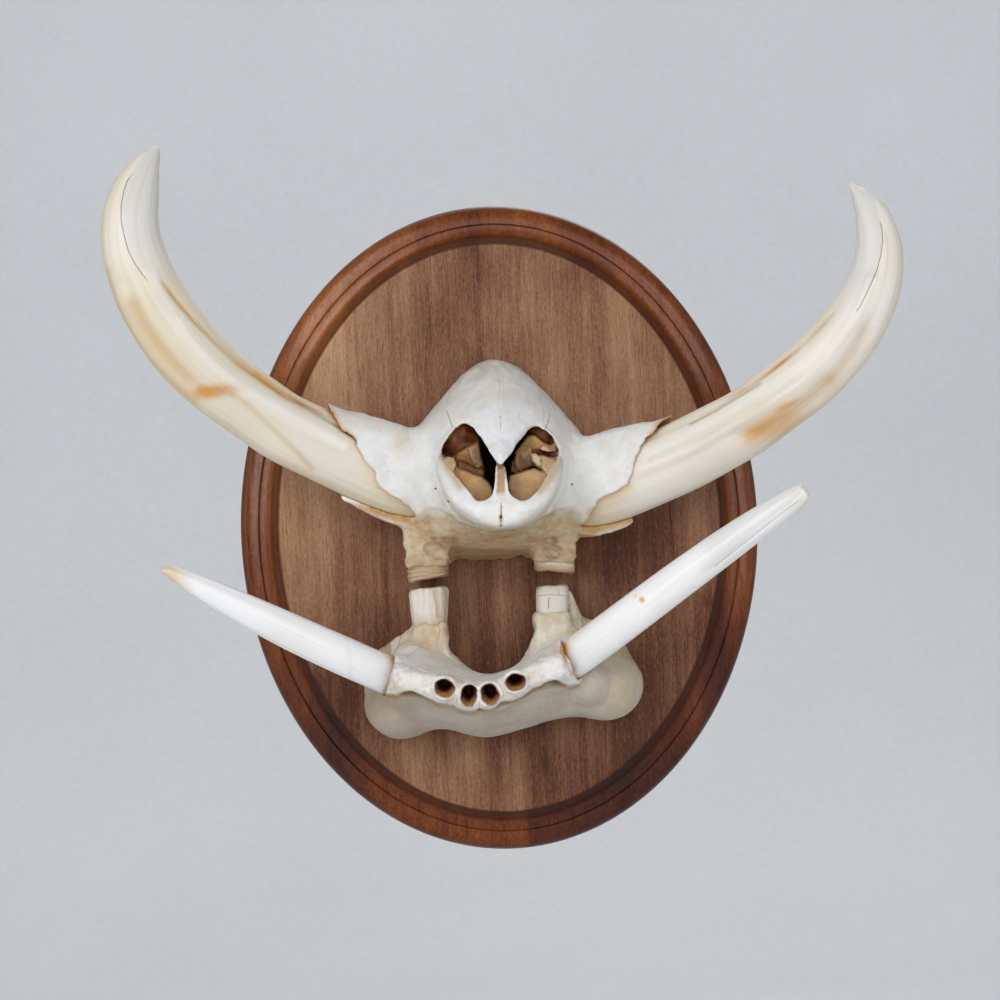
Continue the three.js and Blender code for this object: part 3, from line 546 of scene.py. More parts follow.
class Shader:
    """Short names for building a procedural material."""

    def __init__(self, name):
        self.mat = bpy.data.materials.new(name)
        self.mat.use_nodes = True
        self.tree = self.mat.node_tree
        self.tree.nodes.clear()
        out = self.add("ShaderNodeOutputMaterial")
        self.bsdf = self.add("ShaderNodeBsdfPrincipled")
        self.tree.links.new(self.bsdf.outputs[0], out.inputs[0])
        self.coord = self.add("ShaderNodeTexCoord").outputs["Object"]

    def add(self, kind, **props):
        node = self.tree.nodes.new(kind)
        for k, v in props.items():
            setattr(node, k, v)
        return node

    def feed(self, socket, value):
        if isinstance(value, bpy.types.NodeSocket):
            self.tree.links.new(value, socket)
        elif value is not None:
            socket.default_value = value

    def set(self, **sockets):
        for k, v in sockets.items():
            self.feed(self.bsdf.inputs[k.replace("_", " ")], v)

    def math(self, op, a, b=None, c=None, clamp=False):
        n = self.add("ShaderNodeMath", operation=op, use_clamp=clamp)
        for s, v in zip(n.inputs, (a, b, c)):
            self.feed(s, v)
        return n.outputs[0]

    def stretched(self, factors, source=None):
        n = self.add("ShaderNodeVectorMath", operation="MULTIPLY")
        self.feed(n.inputs[0], source or self.coord)
        n.inputs[1].default_value = factors
        return n.outputs[0]

    def vector(self, x, y, z):
        n = self.add("ShaderNodeCombineXYZ")
        for s, v in zip(n.inputs, (x, y, z)):
            self.feed(s, v)
        return n.outputs[0]

    def noise(self, vector, scale, detail=3.0, rough=0.5, distort=0.0):
        n = self.add("ShaderNodeTexNoise", noise_dimensions="3D")
        self.feed(n.inputs["Vector"], vector)
        n.inputs["Scale"].default_value = scale
        n.inputs["Detail"].default_value = detail
        n.inputs["Roughness"].default_value = rough
        n.inputs["Distortion"].default_value = distort
        return n.outputs[0]

    def cells(self, vector, scale, feature="F1"):
        n = self.add("ShaderNodeTexVoronoi", feature=feature)
        self.feed(n.inputs["Vector"], vector)
        n.inputs["Scale"].default_value = scale
        return n.outputs["Distance"]

    def attr(self, name):
        return self.add("ShaderNodeAttribute", attribute_name=name).outputs["Fac"]

    def span(self, value, a, b, c=0.0, d=1.0, smooth=False):
        n = self.add("ShaderNodeMapRange", clamp=True,
                     interpolation_type="SMOOTHSTEP" if smooth else "LINEAR")
        for s, v in zip(n.inputs, (value, a, b, c, d)):
            self.feed(s, v)
        return n.outputs[0]

    def ramp(self, value, stops):
        n = self.add("ShaderNodeValToRGB")
        e = n.color_ramp.elements
        while len(e) < len(stops):
            e.new(0.5)
        for el, (pos, col) in zip(e, stops):
            el.position = pos
            el.color = col
        self.feed(n.inputs[0], value)
        return n.outputs[0]

    def mix(self, factor, a, b, blend="MIX"):
        n = self.add("ShaderNodeMix", data_type="RGBA", blend_type=blend)
        n.clamp_result = False
        self.feed(n.inputs[0], factor)
        self.feed(n.inputs[6], a)
        self.feed(n.inputs[7], b)
        return n.outputs[2]

    def bump(self, height, strength=0.5, distance=0.001, normal=None):
        n = self.add("ShaderNodeBump")
        n.inputs["Strength"].default_value = strength
        n.inputs["Distance"].default_value = distance
        self.feed(n.inputs["Height"], height)
        if normal is not None:
            self.feed(n.inputs["Normal"], normal)
        return n.outputs[0]


def walnut_material():
    """Walnut, matte on the field and glossier and redder on the moulded edge.
    rim: 0 on the field to 1 on the edge. stain: painted shade in the cove beside the field and along the outer round of
    the edge. tone: lighter or darker boards, and painted light and shade: lighter at the upper left, painted shadows,
    and darker towards the lower right and the bottom."""
    s = Shader("walnut")
    rim, moulding_shade, tone_and_shade = s.attr("rim"), s.attr("moulding_shade"), s.attr("tone_and_shade")
    bend = s.noise(s.stretched((14, 14, 5)), 1.0, 2, 0.5)
    warp = s.vector(s.math("MULTIPLY", s.math("SUBTRACT", bend, 0.5), 0.012), 0.0, 0.0)
    p = s.add("ShaderNodeVectorMath", operation="ADD")
    s.feed(p.inputs[0], s.coord)
    s.feed(p.inputs[1], warp)
    p = p.outputs[0]
    bands = s.noise(s.stretched((48, 48, 1.6), p), 1.0, 3, 0.55)
    streaks = s.noise(s.stretched((330, 330, 7), p), 1.0, 4, 0.62)
    fibre = s.noise(s.stretched((1500, 1500, 55), p), 1.0, 3, 0.6)
    pores = s.noise(s.stretched((2300, 2300, 150), p), 1.0, 2, 0.5)
    pore = s.span(pores, 0.60, 0.72, 0, 1, True)
    fleck = s.span(s.noise(s.stretched((2600, 2600, 260), p), 1.0, 2, 0.5), 0.60, 0.75, 0, 1, True)
    blotch = s.noise(s.stretched((30, 30, 11), p), 1.0, 4, 0.62)
    speck = s.noise(s.stretched((1100, 1100, 520), p), 1.0, 3, 0.7)
    value = s.math("ADD", s.math("MULTIPLY", s.math("SUBTRACT", bands, 0.5), 0.55),
                   s.math("MULTIPLY", s.math("SUBTRACT", streaks, 0.5), 0.34))
    value = s.math("ADD", value, s.math("MULTIPLY", s.math("SUBTRACT", fibre, 0.5), 0.45))
    value = s.math("ADD", value, s.math("MULTIPLY", s.math("SUBTRACT", blotch, 0.5), 0.90))
    value = s.math("ADD", value, s.math("MULTIPLY", s.math("SUBTRACT", speck, 0.5), 0.55))
    # Boards of the wood, with painted light and shade laid over them.
    value = s.math("ADD", value, s.math("MULTIPLY_ADD", tone_and_shade, 0.5, 0.5))
    field = s.ramp(value, [(0.0, rgb(38, 9, 0)), (0.28, rgb(84, 40, 12)), (0.5, rgb(122, 80, 52)),
                           (0.74, rgb(153, 112, 80)), (1.0, rgb(182, 142, 106))])
    edge = s.ramp(value, [(0.0, rgb(38, 10, 1)), (0.35, rgb(84, 34, 5)), (0.6, rgb(120, 61, 21)),
                          (1.0, rgb(164, 100, 48))])
    col = s.mix(rim, field, edge)
    col = s.mix(s.math("MULTIPLY", pore, 0.5), col, rgb(44, 22, 12))
    col = s.mix(s.math("MULTIPLY", fleck, s.math("SUBTRACT", 0.15, s.math("MULTIPLY", rim, 0.12))), col, rgb(200, 178, 152))
    # Painted shade in the cove and along the outer edge of the moulding.
    col = s.mix(s.math("MULTIPLY", moulding_shade, 0.85), col, rgb(34, 13, 5))
    s.set(Base_Color=col)
    rough = s.math("ADD", s.span(rim, 0, 1, 0.56, 0.22), s.math("MULTIPLY", s.math("SUBTRACT", fibre, 0.5), 0.16))
    rough = s.math("ADD", rough, s.math("MULTIPLY", moulding_shade, 0.36))
    s.set(Roughness=rough)
    s.bsdf.inputs["Specular IOR Level"].default_value = 0.30
    height = s.math("SUBTRACT", s.math("MULTIPLY", fibre, 0.55), s.math("MULTIPLY", pore, 0.7))
    height = s.math("ADD", height, s.math("MULTIPLY", streaks, 0.5))
    height = s.math("MULTIPLY", height, s.span(rim, 0, 1, 1.0, 0.45))
    s.set(Normal=s.bump(height, 0.55, 0.00022))
    return s.mat


def bone_material(name, fleshy=0.0):
    """Dry bone. cream, tan, ochre, umber, black, grey: where each lies, 0 to 1. All but black are stains; black is
    painted shade deep in holes, and tan and umber carry some painted shade too.
    """
    s = Shader(name)
    cloud = s.noise(s.stretched((55, 55, 55)), 1.0, 4, 0.6)
    mottle = s.noise(s.stretched((310, 310, 310)), 1.0, 4, 0.6)
    grain = s.noise(s.stretched((1500, 1500, 1500)), 1.0, 3, 0.6)
    weave = s.noise(s.stretched((330, 900, 1400)), 1.0, 3, 0.55, 0.6)
    pits = s.cells(s.stretched((1, 1, 1)), 620.0)
    pit = s.span(pits, 0.10, 0.26, 1, 0, True)
    sparse = s.span(s.noise(s.stretched((160, 160, 160)), 1.0, 2, 0.5), 0.50, 0.66, 0, 1, True)
    pit = s.math("MULTIPLY", pit, sparse)
    base = s.ramp(s.math("ADD", s.math("MULTIPLY", cloud, 0.55), s.math("MULTIPLY", mottle, 0.45)),
                  [(0.30, rgb(218, 214, 206)), (0.45, rgb(228, 227, 225)), (0.58, rgb(233, 234, 237)),
                   (0.75, rgb(238, 240, 245))])
    wob = s.math("MULTIPLY_ADD", s.math("SUBTRACT", mottle, 0.5), 1.1, s.math("MULTIPLY", s.math("SUBTRACT", cloud, 0.5), 0.8))

    def spread(which, gain=1.0):
        a = s.attr(which)
        edge = s.math("MULTIPLY", s.math("MULTIPLY", a, s.math("SUBTRACT", 1.0, a)), 4.0)
        a = s.math("ADD", a, s.math("MULTIPLY", s.math("MULTIPLY", edge, wob), 0.7))
        return s.math("MULTIPLY", a, gain, clamp=True)

    col = s.mix(spread("cream"), base, s.ramp(mottle, [(0.3, rgb(196, 182, 152)), (0.7, rgb(224, 214, 190))]))
    col = s.mix(spread("grey"), col, s.ramp(mottle, [(0.3, rgb(160, 154, 140)), (0.7, rgb(186, 180, 166))]))
    col = s.mix(spread("tan"), col, s.ramp(mottle, [(0.25, rgb(150, 116, 78)), (0.5, rgb(186, 152, 108)), (0.8, rgb(206, 178, 136))]))
    col = s.mix(spread("ochre"), col, s.ramp(mottle, [(0.3, rgb(160, 100, 34)), (0.7, rgb(205, 150, 74))]))
    col = s.mix(spread("umber"), col, s.ramp(mottle, [(0.3, rgb(62, 22, 4)), (0.7, rgb(118, 56, 16))]))
    # Painted shade: near black deep in holes and slots.
    col = s.mix(spread("deep_shade"), col, rgb(14, 7, 4))
    col = s.mix(s.math("MULTIPLY", pit, 0.35), col, rgb(150, 134, 108))
    hair = s.math("ADD", s.attr("seam"), s.math("MULTIPLY", s.math("SUBTRACT", grain, 0.5), 0.30))
    hair = s.math("MULTIPLY", s.span(s.math("ABSOLUTE", hair), 0.08, 0.26, 1, 0, True), s.attr("seamed"), clamp=True)
    col = s.mix(s.math("MULTIPLY", hair, 0.85), col, rgb(92, 66, 42))
    s.set(Base_Color=col)
    s.set(Roughness=s.span(mottle, 0.3, 0.7, 0.50, 0.68))
    s.bsdf.inputs["Specular IOR Level"].default_value = 0.32
    h = s.math("ADD", s.math("MULTIPLY", mottle, 0.9), s.math("MULTIPLY", grain, 0.28))
    h = s.math("ADD", h, s.math("MULTIPLY", weave, 0.45))
    h = s.math("SUBTRACT", h, s.math("MULTIPLY", pit, 0.55))
    h = s.math("SUBTRACT", h, s.math("MULTIPLY", hair, 0.8))
    s.set(Normal=s.bump(h, 0.55, 0.0004))
    return s.mat


def ivory_material(name, white=0.0):
    """Tusk. along, rx and ry are coordinates that follow it, in millimetres, the others stains and
    signed lines, with some painted light and shade: cream, tan, ochre, grey from 0 to 1, crack the distance to the
    crack."""
    s = Shader(name)
    run = s.vector(s.attr("along"), s.attr("rx"), s.attr("ry"))
    streak = s.noise(s.stretched((0.011, 0.34, 0.34), run), 1.0, 4, 0.62)
    fine = s.noise(s.stretched((0.03, 1.7, 1.7), run), 1.0, 3, 0.6)
    cloud = s.noise(s.stretched((34, 34, 34)), 1.0, 3, 0.55)
    rings = s.noise(s.stretched((0.55, 0.03, 0.03), run), 1.0, 2, 0.5)
    base = s.ramp(s.math("ADD", s.math("MULTIPLY", streak, 0.62), s.math("MULTIPLY", cloud, 0.38)),
                  [(0.30, rgb(212, 202, 184)), (0.45, rgb(224, 217, 204)), (0.58, rgb(230, 226, 219)),
                   (0.75, rgb(236, 234, 231))])
    if white:
        base = s.ramp(s.math("ADD", s.math("MULTIPLY", streak, 0.4), s.math("MULTIPLY", cloud, 0.6)),
                      [(0.30, rgb(231, 228, 223)), (0.50, rgb(238, 237, 237)), (0.75, rgb(241, 242, 245))])
    wob = s.math("MULTIPLY_ADD", s.math("SUBTRACT", streak, 0.5), 1.5, s.math("MULTIPLY", s.math("SUBTRACT", fine, 0.5), 0.7))

    def spread(which, gain=1.0):
        a = s.attr(which)
        edge = s.math("MULTIPLY", s.math("MULTIPLY", a, s.math("SUBTRACT", 1.0, a)), 4.0)
        a = s.math("ADD", a, s.math("MULTIPLY", s.math("MULTIPLY", edge, wob), 0.8))
        return s.math("MULTIPLY", a, gain, clamp=True)

    col = s.mix(spread("cream"), base, s.ramp(streak, [(0.3, rgb(206, 188, 150)), (0.7, rgb(226, 213, 184))]))
    col = s.mix(spread("grey"), col, s.ramp(streak, [(0.3, rgb(196, 193, 188)), (0.7, rgb(216, 214, 210))]))
    col = s.mix(spread("tan"), col, s.ramp(streak, [(0.3, rgb(190, 152, 96)), (0.7, rgb(214, 182, 130))]))
    col = s.mix(spread("ochre"), col, s.ramp(streak, [(0.3, rgb(184, 118, 34)), (0.7, rgb(214, 158, 70))]))
    col = s.mix(spread("umber"), col, s.ramp(streak, [(0.3, rgb(84, 56, 34)), (0.7, rgb(120, 84, 52))]))
    line = s.span(s.math("ABSOLUTE", s.math("ADD", s.attr("crack"), s.math("MULTIPLY", s.math("SUBTRACT", fine, 0.5), 0.3))),
                  0.06, 0.30, 1, 0, True)
    line = s.math("MULTIPLY", line, s.attr("cracked"), clamp=True)
    col = s.mix(s.math("MULTIPLY", line, 0.85), col, rgb(112, 94, 72))
    s.set(Base_Color=col)
    s.set(Roughness=s.span(streak, 0.3, 0.7, 0.24, 0.34) if white else s.span(streak, 0.3, 0.7, 0.32, 0.46))
    s.bsdf.inputs["Specular IOR Level"].default_value = 0.45
    h = s.math("ADD", s.math("MULTIPLY", streak, 0.25 if white else 0.8), s.math("MULTIPLY", fine, 0.06 if white else 0.16))
    h = s.math("ADD", h, s.math("MULTIPLY", rings, 0.16))
    h = s.math("SUBTRACT", h, s.math("MULTIPLY", line, 0.7))
    s.set(Normal=s.bump(h, 0.4, 0.0004))
    return s.mat


def metal_material(name, colour, rough, tarnish):
    s = Shader(name)
    brushed = s.noise(s.stretched((260, 3000, 3000)), 1.0, 3, 0.6)
    cloud = s.noise(s.stretched((240, 240, 240)), 1.0, 4, 0.6)
    col = s.mix(s.span(cloud, 0.45, 0.7, 0, 1, True), colour, tarnish)
    col = s.mix(s.math("MULTIPLY", brushed, 0.25), col, rgb(60, 52, 42))
    s.set(Base_Color=col, Roughness=s.span(cloud, 0.3, 0.75, rough, rough + 0.22))
    s.bsdf.inputs["Metallic"].default_value = 1.0
    s.set(Normal=s.bump(s.math("ADD", brushed, s.math("MULTIPLY", cloud, 0.4)), 0.25, 0.00012))
    return s.mat


WALNUT = walnut_material()
BONE = bone_material("bone")
TOOTH = bone_material("tooth")
IVORY = ivory_material("ivory")
WHITE_IVORY = ivory_material("white_ivory", 1.0)
STEEL = metal_material("screw_steel", rgb(176, 172, 160), 0.30, rgb(138, 126, 104))
BRASS = metal_material("hanger_brass", rgb(198, 160, 84), 0.28, rgb(140, 104, 52))


# -------------------------------------------------------------------- plaque
HALF_WIDTH, HALF_HEIGHT = 115.8, 144.1
HANGER_Z = 112.0


def rounded(points, radius, steps=4):
    """A polyline with its corners rounded."""
    P = np.asarray(points, float)
    out = [P[0]]
    for a, b, c in zip(P[:-2], P[1:-1], P[2:]):
        u, w = a - b, c - b
        lu, lw = np.linalg.norm(u), np.linalg.norm(w)
        r = min(radius, 0.45 * lu, 0.45 * lw)
        p, q = b + u / lu * r, b + w / lw * r
        for t in np.linspace(0, 1, steps + 1):
            out.append((1 - t) ** 2 * p + 2 * t * (1 - t) * b + t ** 2 * q)
    out.append(P[-1])
    return np.array(out)


def plaque_profile():
    """Distance in from the edge, and y, from the back face round to the field."""
    over = spline([[0, -7.0], [0.25, -8.7], [1.0, -10.4], [2.3, -11.7], [4.0, -12.55], [6.0, -13.1], [8.0, -13.45]],
                  np.linspace(0, 1, 19))
    bead = spline([[8.95, -12.25], [10.2, -12.4], [11.6, -12.75], [12.7, -13.15], [13.5, -13.8], [14.5, -15.0], [15.6, -16.4], [16.6, -17.6], [17.1, -18.2]],
                  np.linspace(0, 1, 25))
    lower = rounded([[1.0, 0], [0, -1.0], [0, -7.0]], 0.5, 3)
    step = rounded([over[-1], [8.25, -13.45], [8.75, -12.45], bead[0]], 0.2, 3)
    arris = rounded([bead[-1], [17.45, -18.75], [18.35, FIELD_Y], [19.4, FIELD_Y]], 0.5, 4)
    return np.concatenate([lower[:-1], over[:-1], step[:-1], bead[:-1], arris])


def build_plaque():
    sides = 640
    prof = plaque_profile()
    th = np.arange(sides) / sides * 2 * np.pi
    ex, ez = HALF_WIDTH * np.cos(th), HALF_HEIGHT * np.sin(th)
    nx, nz = np.cos(th) / HALF_WIDTH, np.sin(th) / HALF_HEIGHT
    n = np.hypot(nx, nz)
    nx, nz = nx / n, nz / n

    def ring(inset, y):
        wave = 0.06 * np.sin(3 * th + 1) * smoothstep(0, 3, inset)
        return np.stack([ex - nx * (inset + wave), np.full(sides, y), ez - nz * (inset + wave)], -1)

    rings = []
    back = [0.0, 0.15, 0.3, 0.45, 0.6, 0.75, 0.88, 0.96]
    base = ring(prof[0, 0], 0.0)
    for f in back[1:]:
        r = base.copy()
        r[:, 0] *= f
        r[:, 2] *= f
        rings.append(r)
    count_back = len(rings)
    for inset, y in prof:
        rings.append(ring(inset, y))
    last = rings[-1].copy()
    front = np.linspace(1, 0.02, 34)[1:]
    for f in front:
        r = last.copy()
        r[:, 0] *= f
        r[:, 2] *= f
        rings.append(r)
    rings = np.array(rings)
    insets = np.concatenate([np.full(count_back, -1.0), prof[:, 0], np.full(len(front), 30.0)])
    ys = rings[:, 0, 1]
    verts, quads, tris = closed_tube(rings)
    ob = make("plaque_board", verts, quads, tris)

    # Cut the hanger's pocket, the screw holes and the nail holes in the back.
    cutters = []

    def lathe_cut(x, z, profile, sides=40):
        a = np.arange(sides) / sides * 2 * np.pi
        r = np.array([[(x + p[0] * math.cos(t), p[1], z + p[0] * math.sin(t)) for t in a] for p in profile])
        v, q, t = closed_tube(r)
        cutters.append(make("cut", v, q, t, smooth=False))

    for x, z in JAW_SCREWS.values():
        lathe_cut(x, z, [(4.3, 1.0), (4.3, -1.2), (2.1, -3.7), (2.1, -25.0)])
    for side in (-1, 1):
        lathe_cut(side * 18.6, HANGER_Z + 1.5, [(1.0, -1.0), (1.0, -12.5)], 24)
    bx = np.array([[(-24, y, HANGER_Z - 7.5), (24, y, HANGER_Z - 7.5), (24, y, HANGER_Z + 7.5), (-24, y, HANGER_Z + 7.5)]
                   for y in (2.0, -3.2)])
    v, q, t = closed_tube(bx)
    cutters.append(make("cut", v, q, t, smooth=False))
    for c in cutters:
        mod = ob.modifiers.new("cut", "BOOLEAN")
        mod.operation, mod.solver, mod.object = "DIFFERENCE", "EXACT", c
    apply_modifiers(ob)
    for c in cutters:
        data = c.data
        bpy.data.objects.remove(c)
        bpy.data.meshes.remove(data)

    # Masks: how far a point is from the edge tells the field from the moulding.
    p = points_of(ob)
    rad = np.hypot(p[:, 0] / HALF_WIDTH, p[:, 2] / HALF_HEIGHT)
    t = np.arctan2(p[:, 2] / HALF_HEIGHT, p[:, 0] / HALF_WIDTH)
    n_ = np.hypot(np.cos(t) / HALF_WIDTH, np.sin(t) / HALF_HEIGHT)
    inset = (1 - rad) / n_
    y = p[:, 1]
    frontish = smoothstep(-0.5, -2.5, y)
    rim = frontish * (1 - smoothstep(17.6, 18.4, inset))
    angle = np.degrees(t)
    low = smoothstep(-20, -110, np.where(angle > 90, angle - 360, angle)) * smoothstep(-190, -150, np.where(angle > 90, angle - 360, angle))
    # Painted shade: darker in the cove beside the field and along the outer round of the edge.
    moulding_shade = 0.62 * bump_of(inset, 15.2, 1.9) + 0.55 * bump_of(inset, 17.0, 0.8)
    moulding_shade = moulding_shade + 0.38 * bump_of(inset, 0.8, 1.9)
    moulding_shade = np.clip(moulding_shade, 0, 1) * frontish * (1 - smoothstep(17.9, 18.5, inset))
    # Boards and lighter patches of the wood, on the field and the edge, together with painted light and shade: painted
    # light at the upper left, painted shadows beside the right cheek tooth and below the snout, and painted shade
    # towards the lower right and the bottom.
    x, z = p[:, 0], p[:, 2]
    tone_and_shade = 0.10 + 0 * x
    # Painted light: lighter on the upper left of the field.
    tone_and_shade += 0.40 * bump_of(x + 0.03 * z, -70, 12) * smoothstep(10, 50, z) * smoothstep(125, 85, z)
    tone_and_shade += 0.26 * smoothstep(-40, -60, x) * smoothstep(0, 50, z)
    tone_and_shade += 0.16 * rim * smoothstep(40, 90, x) * smoothstep(20, -40, z)
    tone_and_shade += 0.30 * bump_of(x, -86, 9) * smoothstep(-60, -10, z) * smoothstep(60, 20, z)
    tone_and_shade += 0.22 * bump_of(x, 4, 8) * smoothstep(-70, -110, z)
    tone_and_shade -= 0.26 * smoothstep(6.6, 7.4, x) * smoothstep(-88, -112, z)
    # Painted shadows in spots beside the right cheek tooth and below the snout, and a darker spot on the left.
    tone_and_shade -= 0.34 * spot_of(x, z, (52, -12), 22, 16) + 0.20 * spot_of(x, z, (4, -18), 26, 12) + 0.25 * spot_of(x, z, (-56, -52), 18, 22)
    tone_and_shade += 0.20 * bump_of(x, -38, 24) * smoothstep(-70, -110, z)
    tone_and_shade -= 0.62 * bump_of(x, -74, 13) * smoothstep(-40, -80, z)
    tone_and_shade -= 0.22 * spot_of(x, z, (0, -60), 44, 30)
    # Painted shade: darker towards the lower right and the bottom, and on the lower part of the edge.
    tone_and_shade -= 0.26 * smoothstep(20, 60, x) * smoothstep(50, -40, z)
    tone_and_shade -= 0.12 * smoothstep(-20, -80, z)
    tone_and_shade -= 0.16 * rim * smoothstep(-20, -90, z)
    tone_and_shade += 0.05 * np.sin(0.31 * x + 1.2) + 0.05 * np.sin(0.113 * x - 0.4)
    values(ob, "rim", rim)
    values(ob, "moulding_shade", moulding_shade)
    values(ob, "tone_and_shade", tone_and_shade)
    put(ob, "plaque", WALNUT)
    sharpen(ob, 40)
    return ob


def sharpen(ob, degrees):
    """Smooth faces with crisp edges where they meet at more than the angle."""
    ob.data.shade_smooth()
    ob.data.set_sharp_from_angle(angle=math.radians(degrees))


# --------------------------------------------------------------------- tusks
def line_of(u, v, points, width):
    """1 on a line that the camera sees, fading over a width in pixels."""
    d, _ = to_outline(u, v, points, closed=False)
    return np.exp(-(d / width) ** 2)


def spot_of(u, v, centre, long, short, turn=0.0):
    """1 in the middle of a soft oval spot, turned anticlockwise as seen."""
    c, s = math.cos(math.radians(turn)), math.sin(math.radians(turn))
    a, b = u - centre[0], -(v - centre[1])
    p, q = (a * c + b * s) / long, (-a * s + b * c) / short
    return np.exp(-(p * p + q * q) ** 1.5)


def side_of(u, v, points):
    """Signed distance in pixels to a line, positive on the left of its direction as seen."""
    P = np.asarray(points, float)
    best = np.full(u.shape, 1e9)
    sign = np.ones(u.shape)
    for (ax, az), (bx, bz) in zip(P[:-1], P[1:]):
        dx, dz = bx - ax, bz - az
        t = np.clip(((u - ax) * dx + (v - az) * dz) / (dx * dx + dz * dz), 0, 1)
        d = np.hypot(u - ax - t * dx, v - az - t * dz)
        side = np.sign(dy_cross(dx, dz, u - ax, v - az))
        sign = np.where(d < best, side, sign)
        best = np.minimum(best, d)
    return best * sign


def dy_cross(dx, dz, px, pz):
    return -(dx * pz - dz * px)


def build_tusk(name, node, rows, mirror, shape, paint, tip=1.0, sides=112, steps=310, material=None, end=None):
    """A tusk as a fine sweep of the CAD's rows. shape gives how far each point
    stands out, paint the stains and some painted light and shade, both from what the camera sees and where round it is."""
    last = len(rows) - 1
    rows = [list(r) for r in rows]
    if end:
        rows[-1][3:] = end
    if material:
        # The straighter lower tusks: even out the rows.
        R = np.array(rows)
        for _ in range(3):
            R[3:-2] = R[3:-2] * 0.4 + 0.3 * (R[2:-3] + R[4:-1])
        rows = R.tolist()
    u = np.concatenate([np.linspace(0, last - 1.5, steps - 60, endpoint=False),
                        last - 1.5 + 1.5 * np.sin(np.linspace(0, 1, 60) * np.pi / 2)])
    c, d, across, depth, half = curve_frames(rows, u)
    # A rounded end beyond the last row.
    k = np.linspace(0, 1, 12)[1:] * np.pi / 2
    c = np.concatenate([c, c[-1] + d[-1] * (half[-1].mean() * tip * np.sin(k))[:, None]])
    half = np.concatenate([half, half[-1] * np.maximum(np.cos(k), 0.03)[:, None]])
    d = np.concatenate([d, np.repeat(d[-1:], len(k), 0)])
    across = np.concatenate([across, np.repeat(across[-1:], len(k), 0)])
    depth = np.concatenate([depth, np.repeat(depth[-1:], len(k), 0)])
    row = np.concatenate([u, last + np.linspace(0, 0.3, len(k))])
    # Finer towards the front, where it is seen from closest.
    even = np.arange(sides) / sides * 2 * np.pi
    phi = even + 0.38 * np.cos(even)
    out = (across[:, None] * np.cos(phi)[None, :, None] * (half[:, 1] / half.max(1))[:, None, None]
           + depth[:, None] * np.sin(phi)[None, :, None] * (half[:, 0] / half.max(1))[:, None, None])
    out /= np.linalg.norm(out, axis=-1, keepdims=True)
    rings = (c[:, None] + across[:, None] * half[:, 0][:, None, None] * np.cos(phi)[None, :, None]
             + depth[:, None] * half[:, 1][:, None, None] * np.sin(phi)[None, :, None])
    angle = (np.pi - phi if mirror else phi)
    angle = (np.degrees(angle) + 90) % 360 - 90
    angle = np.broadcast_to(angle[None], rings.shape[:2])
    along = np.concatenate([[0], np.cumsum(np.linalg.norm(np.diff(c, axis=0), axis=1))])
    along = np.broadcast_to(along[:, None], rings.shape[:2])
    rx = np.broadcast_to(14 * np.cos(phi)[None], rings.shape[:2])
    ry = np.broadcast_to(14 * np.sin(phi)[None], rings.shape[:2])
    rowg = np.broadcast_to(row[:, None], rings.shape[:2])
    front = smoothstep(-0.10, 0.30, -out[..., 1])
    su, sv = seen(rings)
    lift = shape(su, sv, angle, rowg, front)
    q = np.stack([along, rx, ry], -1)
    small = np.minimum(half.mean(1) / 8, 1)[:, None]
    lift = lift + 0.10 * noise(q, (60, 5.0, 5.0), 1) * small + 0.05 * noise(q, (30, 1.7, 1.7), 2) * small
    lift = lift + 0.05 * noise(q, (7, 9, 9), 3) * small
    rings = rings + out * lift[..., None] * np.minimum(half.mean(1) / 6, 1)[:, None, None]
    verts, quads, tris = closed_tube(rings)
    ob = make(name, verts, quads, tris)
    marks = paint(su, sv, angle, rowg, front, along)
    marks.update(along=along, rx=rx, ry=ry)
    for key in ("cream", "tan", "ochre", "grey", "umber", "crack", "cracked", "along", "rx", "ry"):
        val = marks.get(key, np.full(rings.shape[:2], 9.0 if key == "crack" else 0.0))
        val = np.broadcast_to(val, rings.shape[:2])
        if key not in ("crack", "along", "rx", "ry"):
            val = np.clip(val, 0, 1)
        flat = np.concatenate([val.ravel(), [val[0].mean(), val[-1].mean()]])
        values(ob, key, flat)
    put(ob, node, material or IVORY)
    return ob


L_STREAK = [(352, 434), (325, 418), (300, 404), (285, 396), (262, 380), (240, 364), (217, 343), (195, 321), (178, 302), (163, 283)]
L_CRACK = [(133, 172), (127, 181), (124, 190), (121, 205), (121, 220), (124, 235), (128, 250), (134, 262), (143, 275), (152, 288)]
L_FLUTE = [(124, 285), (132, 305), (143, 325), (157, 345), (172, 364), (187, 380), (200, 390)]
L_RIDGE = [(345, 446), (310, 424), (275, 405), (240, 386), (215, 366), (190, 338), (168, 306), (152, 275)]
R_STREAK = [(646, 440), (665, 432), (690, 421), (715, 407), (735, 394), (750, 385), (768, 373), (787, 358), (805, 342), (822, 325), (832, 312)]
R_CRACK = [(879, 216), (882, 228), (883, 240), (881, 255), (877, 270), (872, 282), (866, 295), (860, 307), (853, 316)]
R_FLUTE = [(738, 436), (762, 432), (790, 417), (815, 398), (838, 376), (857, 352), (872, 325)]
R_RIDGE = [(640, 470), (690, 450), (740, 420), (790, 390), (830, 355), (858, 318), (870, 280)]
L_FOLD = [(312, 470), (296, 452), (280, 436), (262, 419), (246, 404), (232, 396)]
L_BROW = [(320, 464), (300, 445), (282, 428), (264, 412), (248, 399)]
R_FOLD = [(650, 458), (690, 440), (725, 422), (748, 408), (775, 392), (800, 376), (822, 358)]
L_RIM = [(328, 408), (333, 413), (338, 424), (341, 429), (348, 433), (353, 437), (356, 440), (357, 446), (361, 453),
         (366, 462), (371, 467), (375, 473), (376, 480), (379, 486), (385, 491), (393, 497), (400, 500), (407, 506),
         (412, 511), (415, 516), (416, 522)]
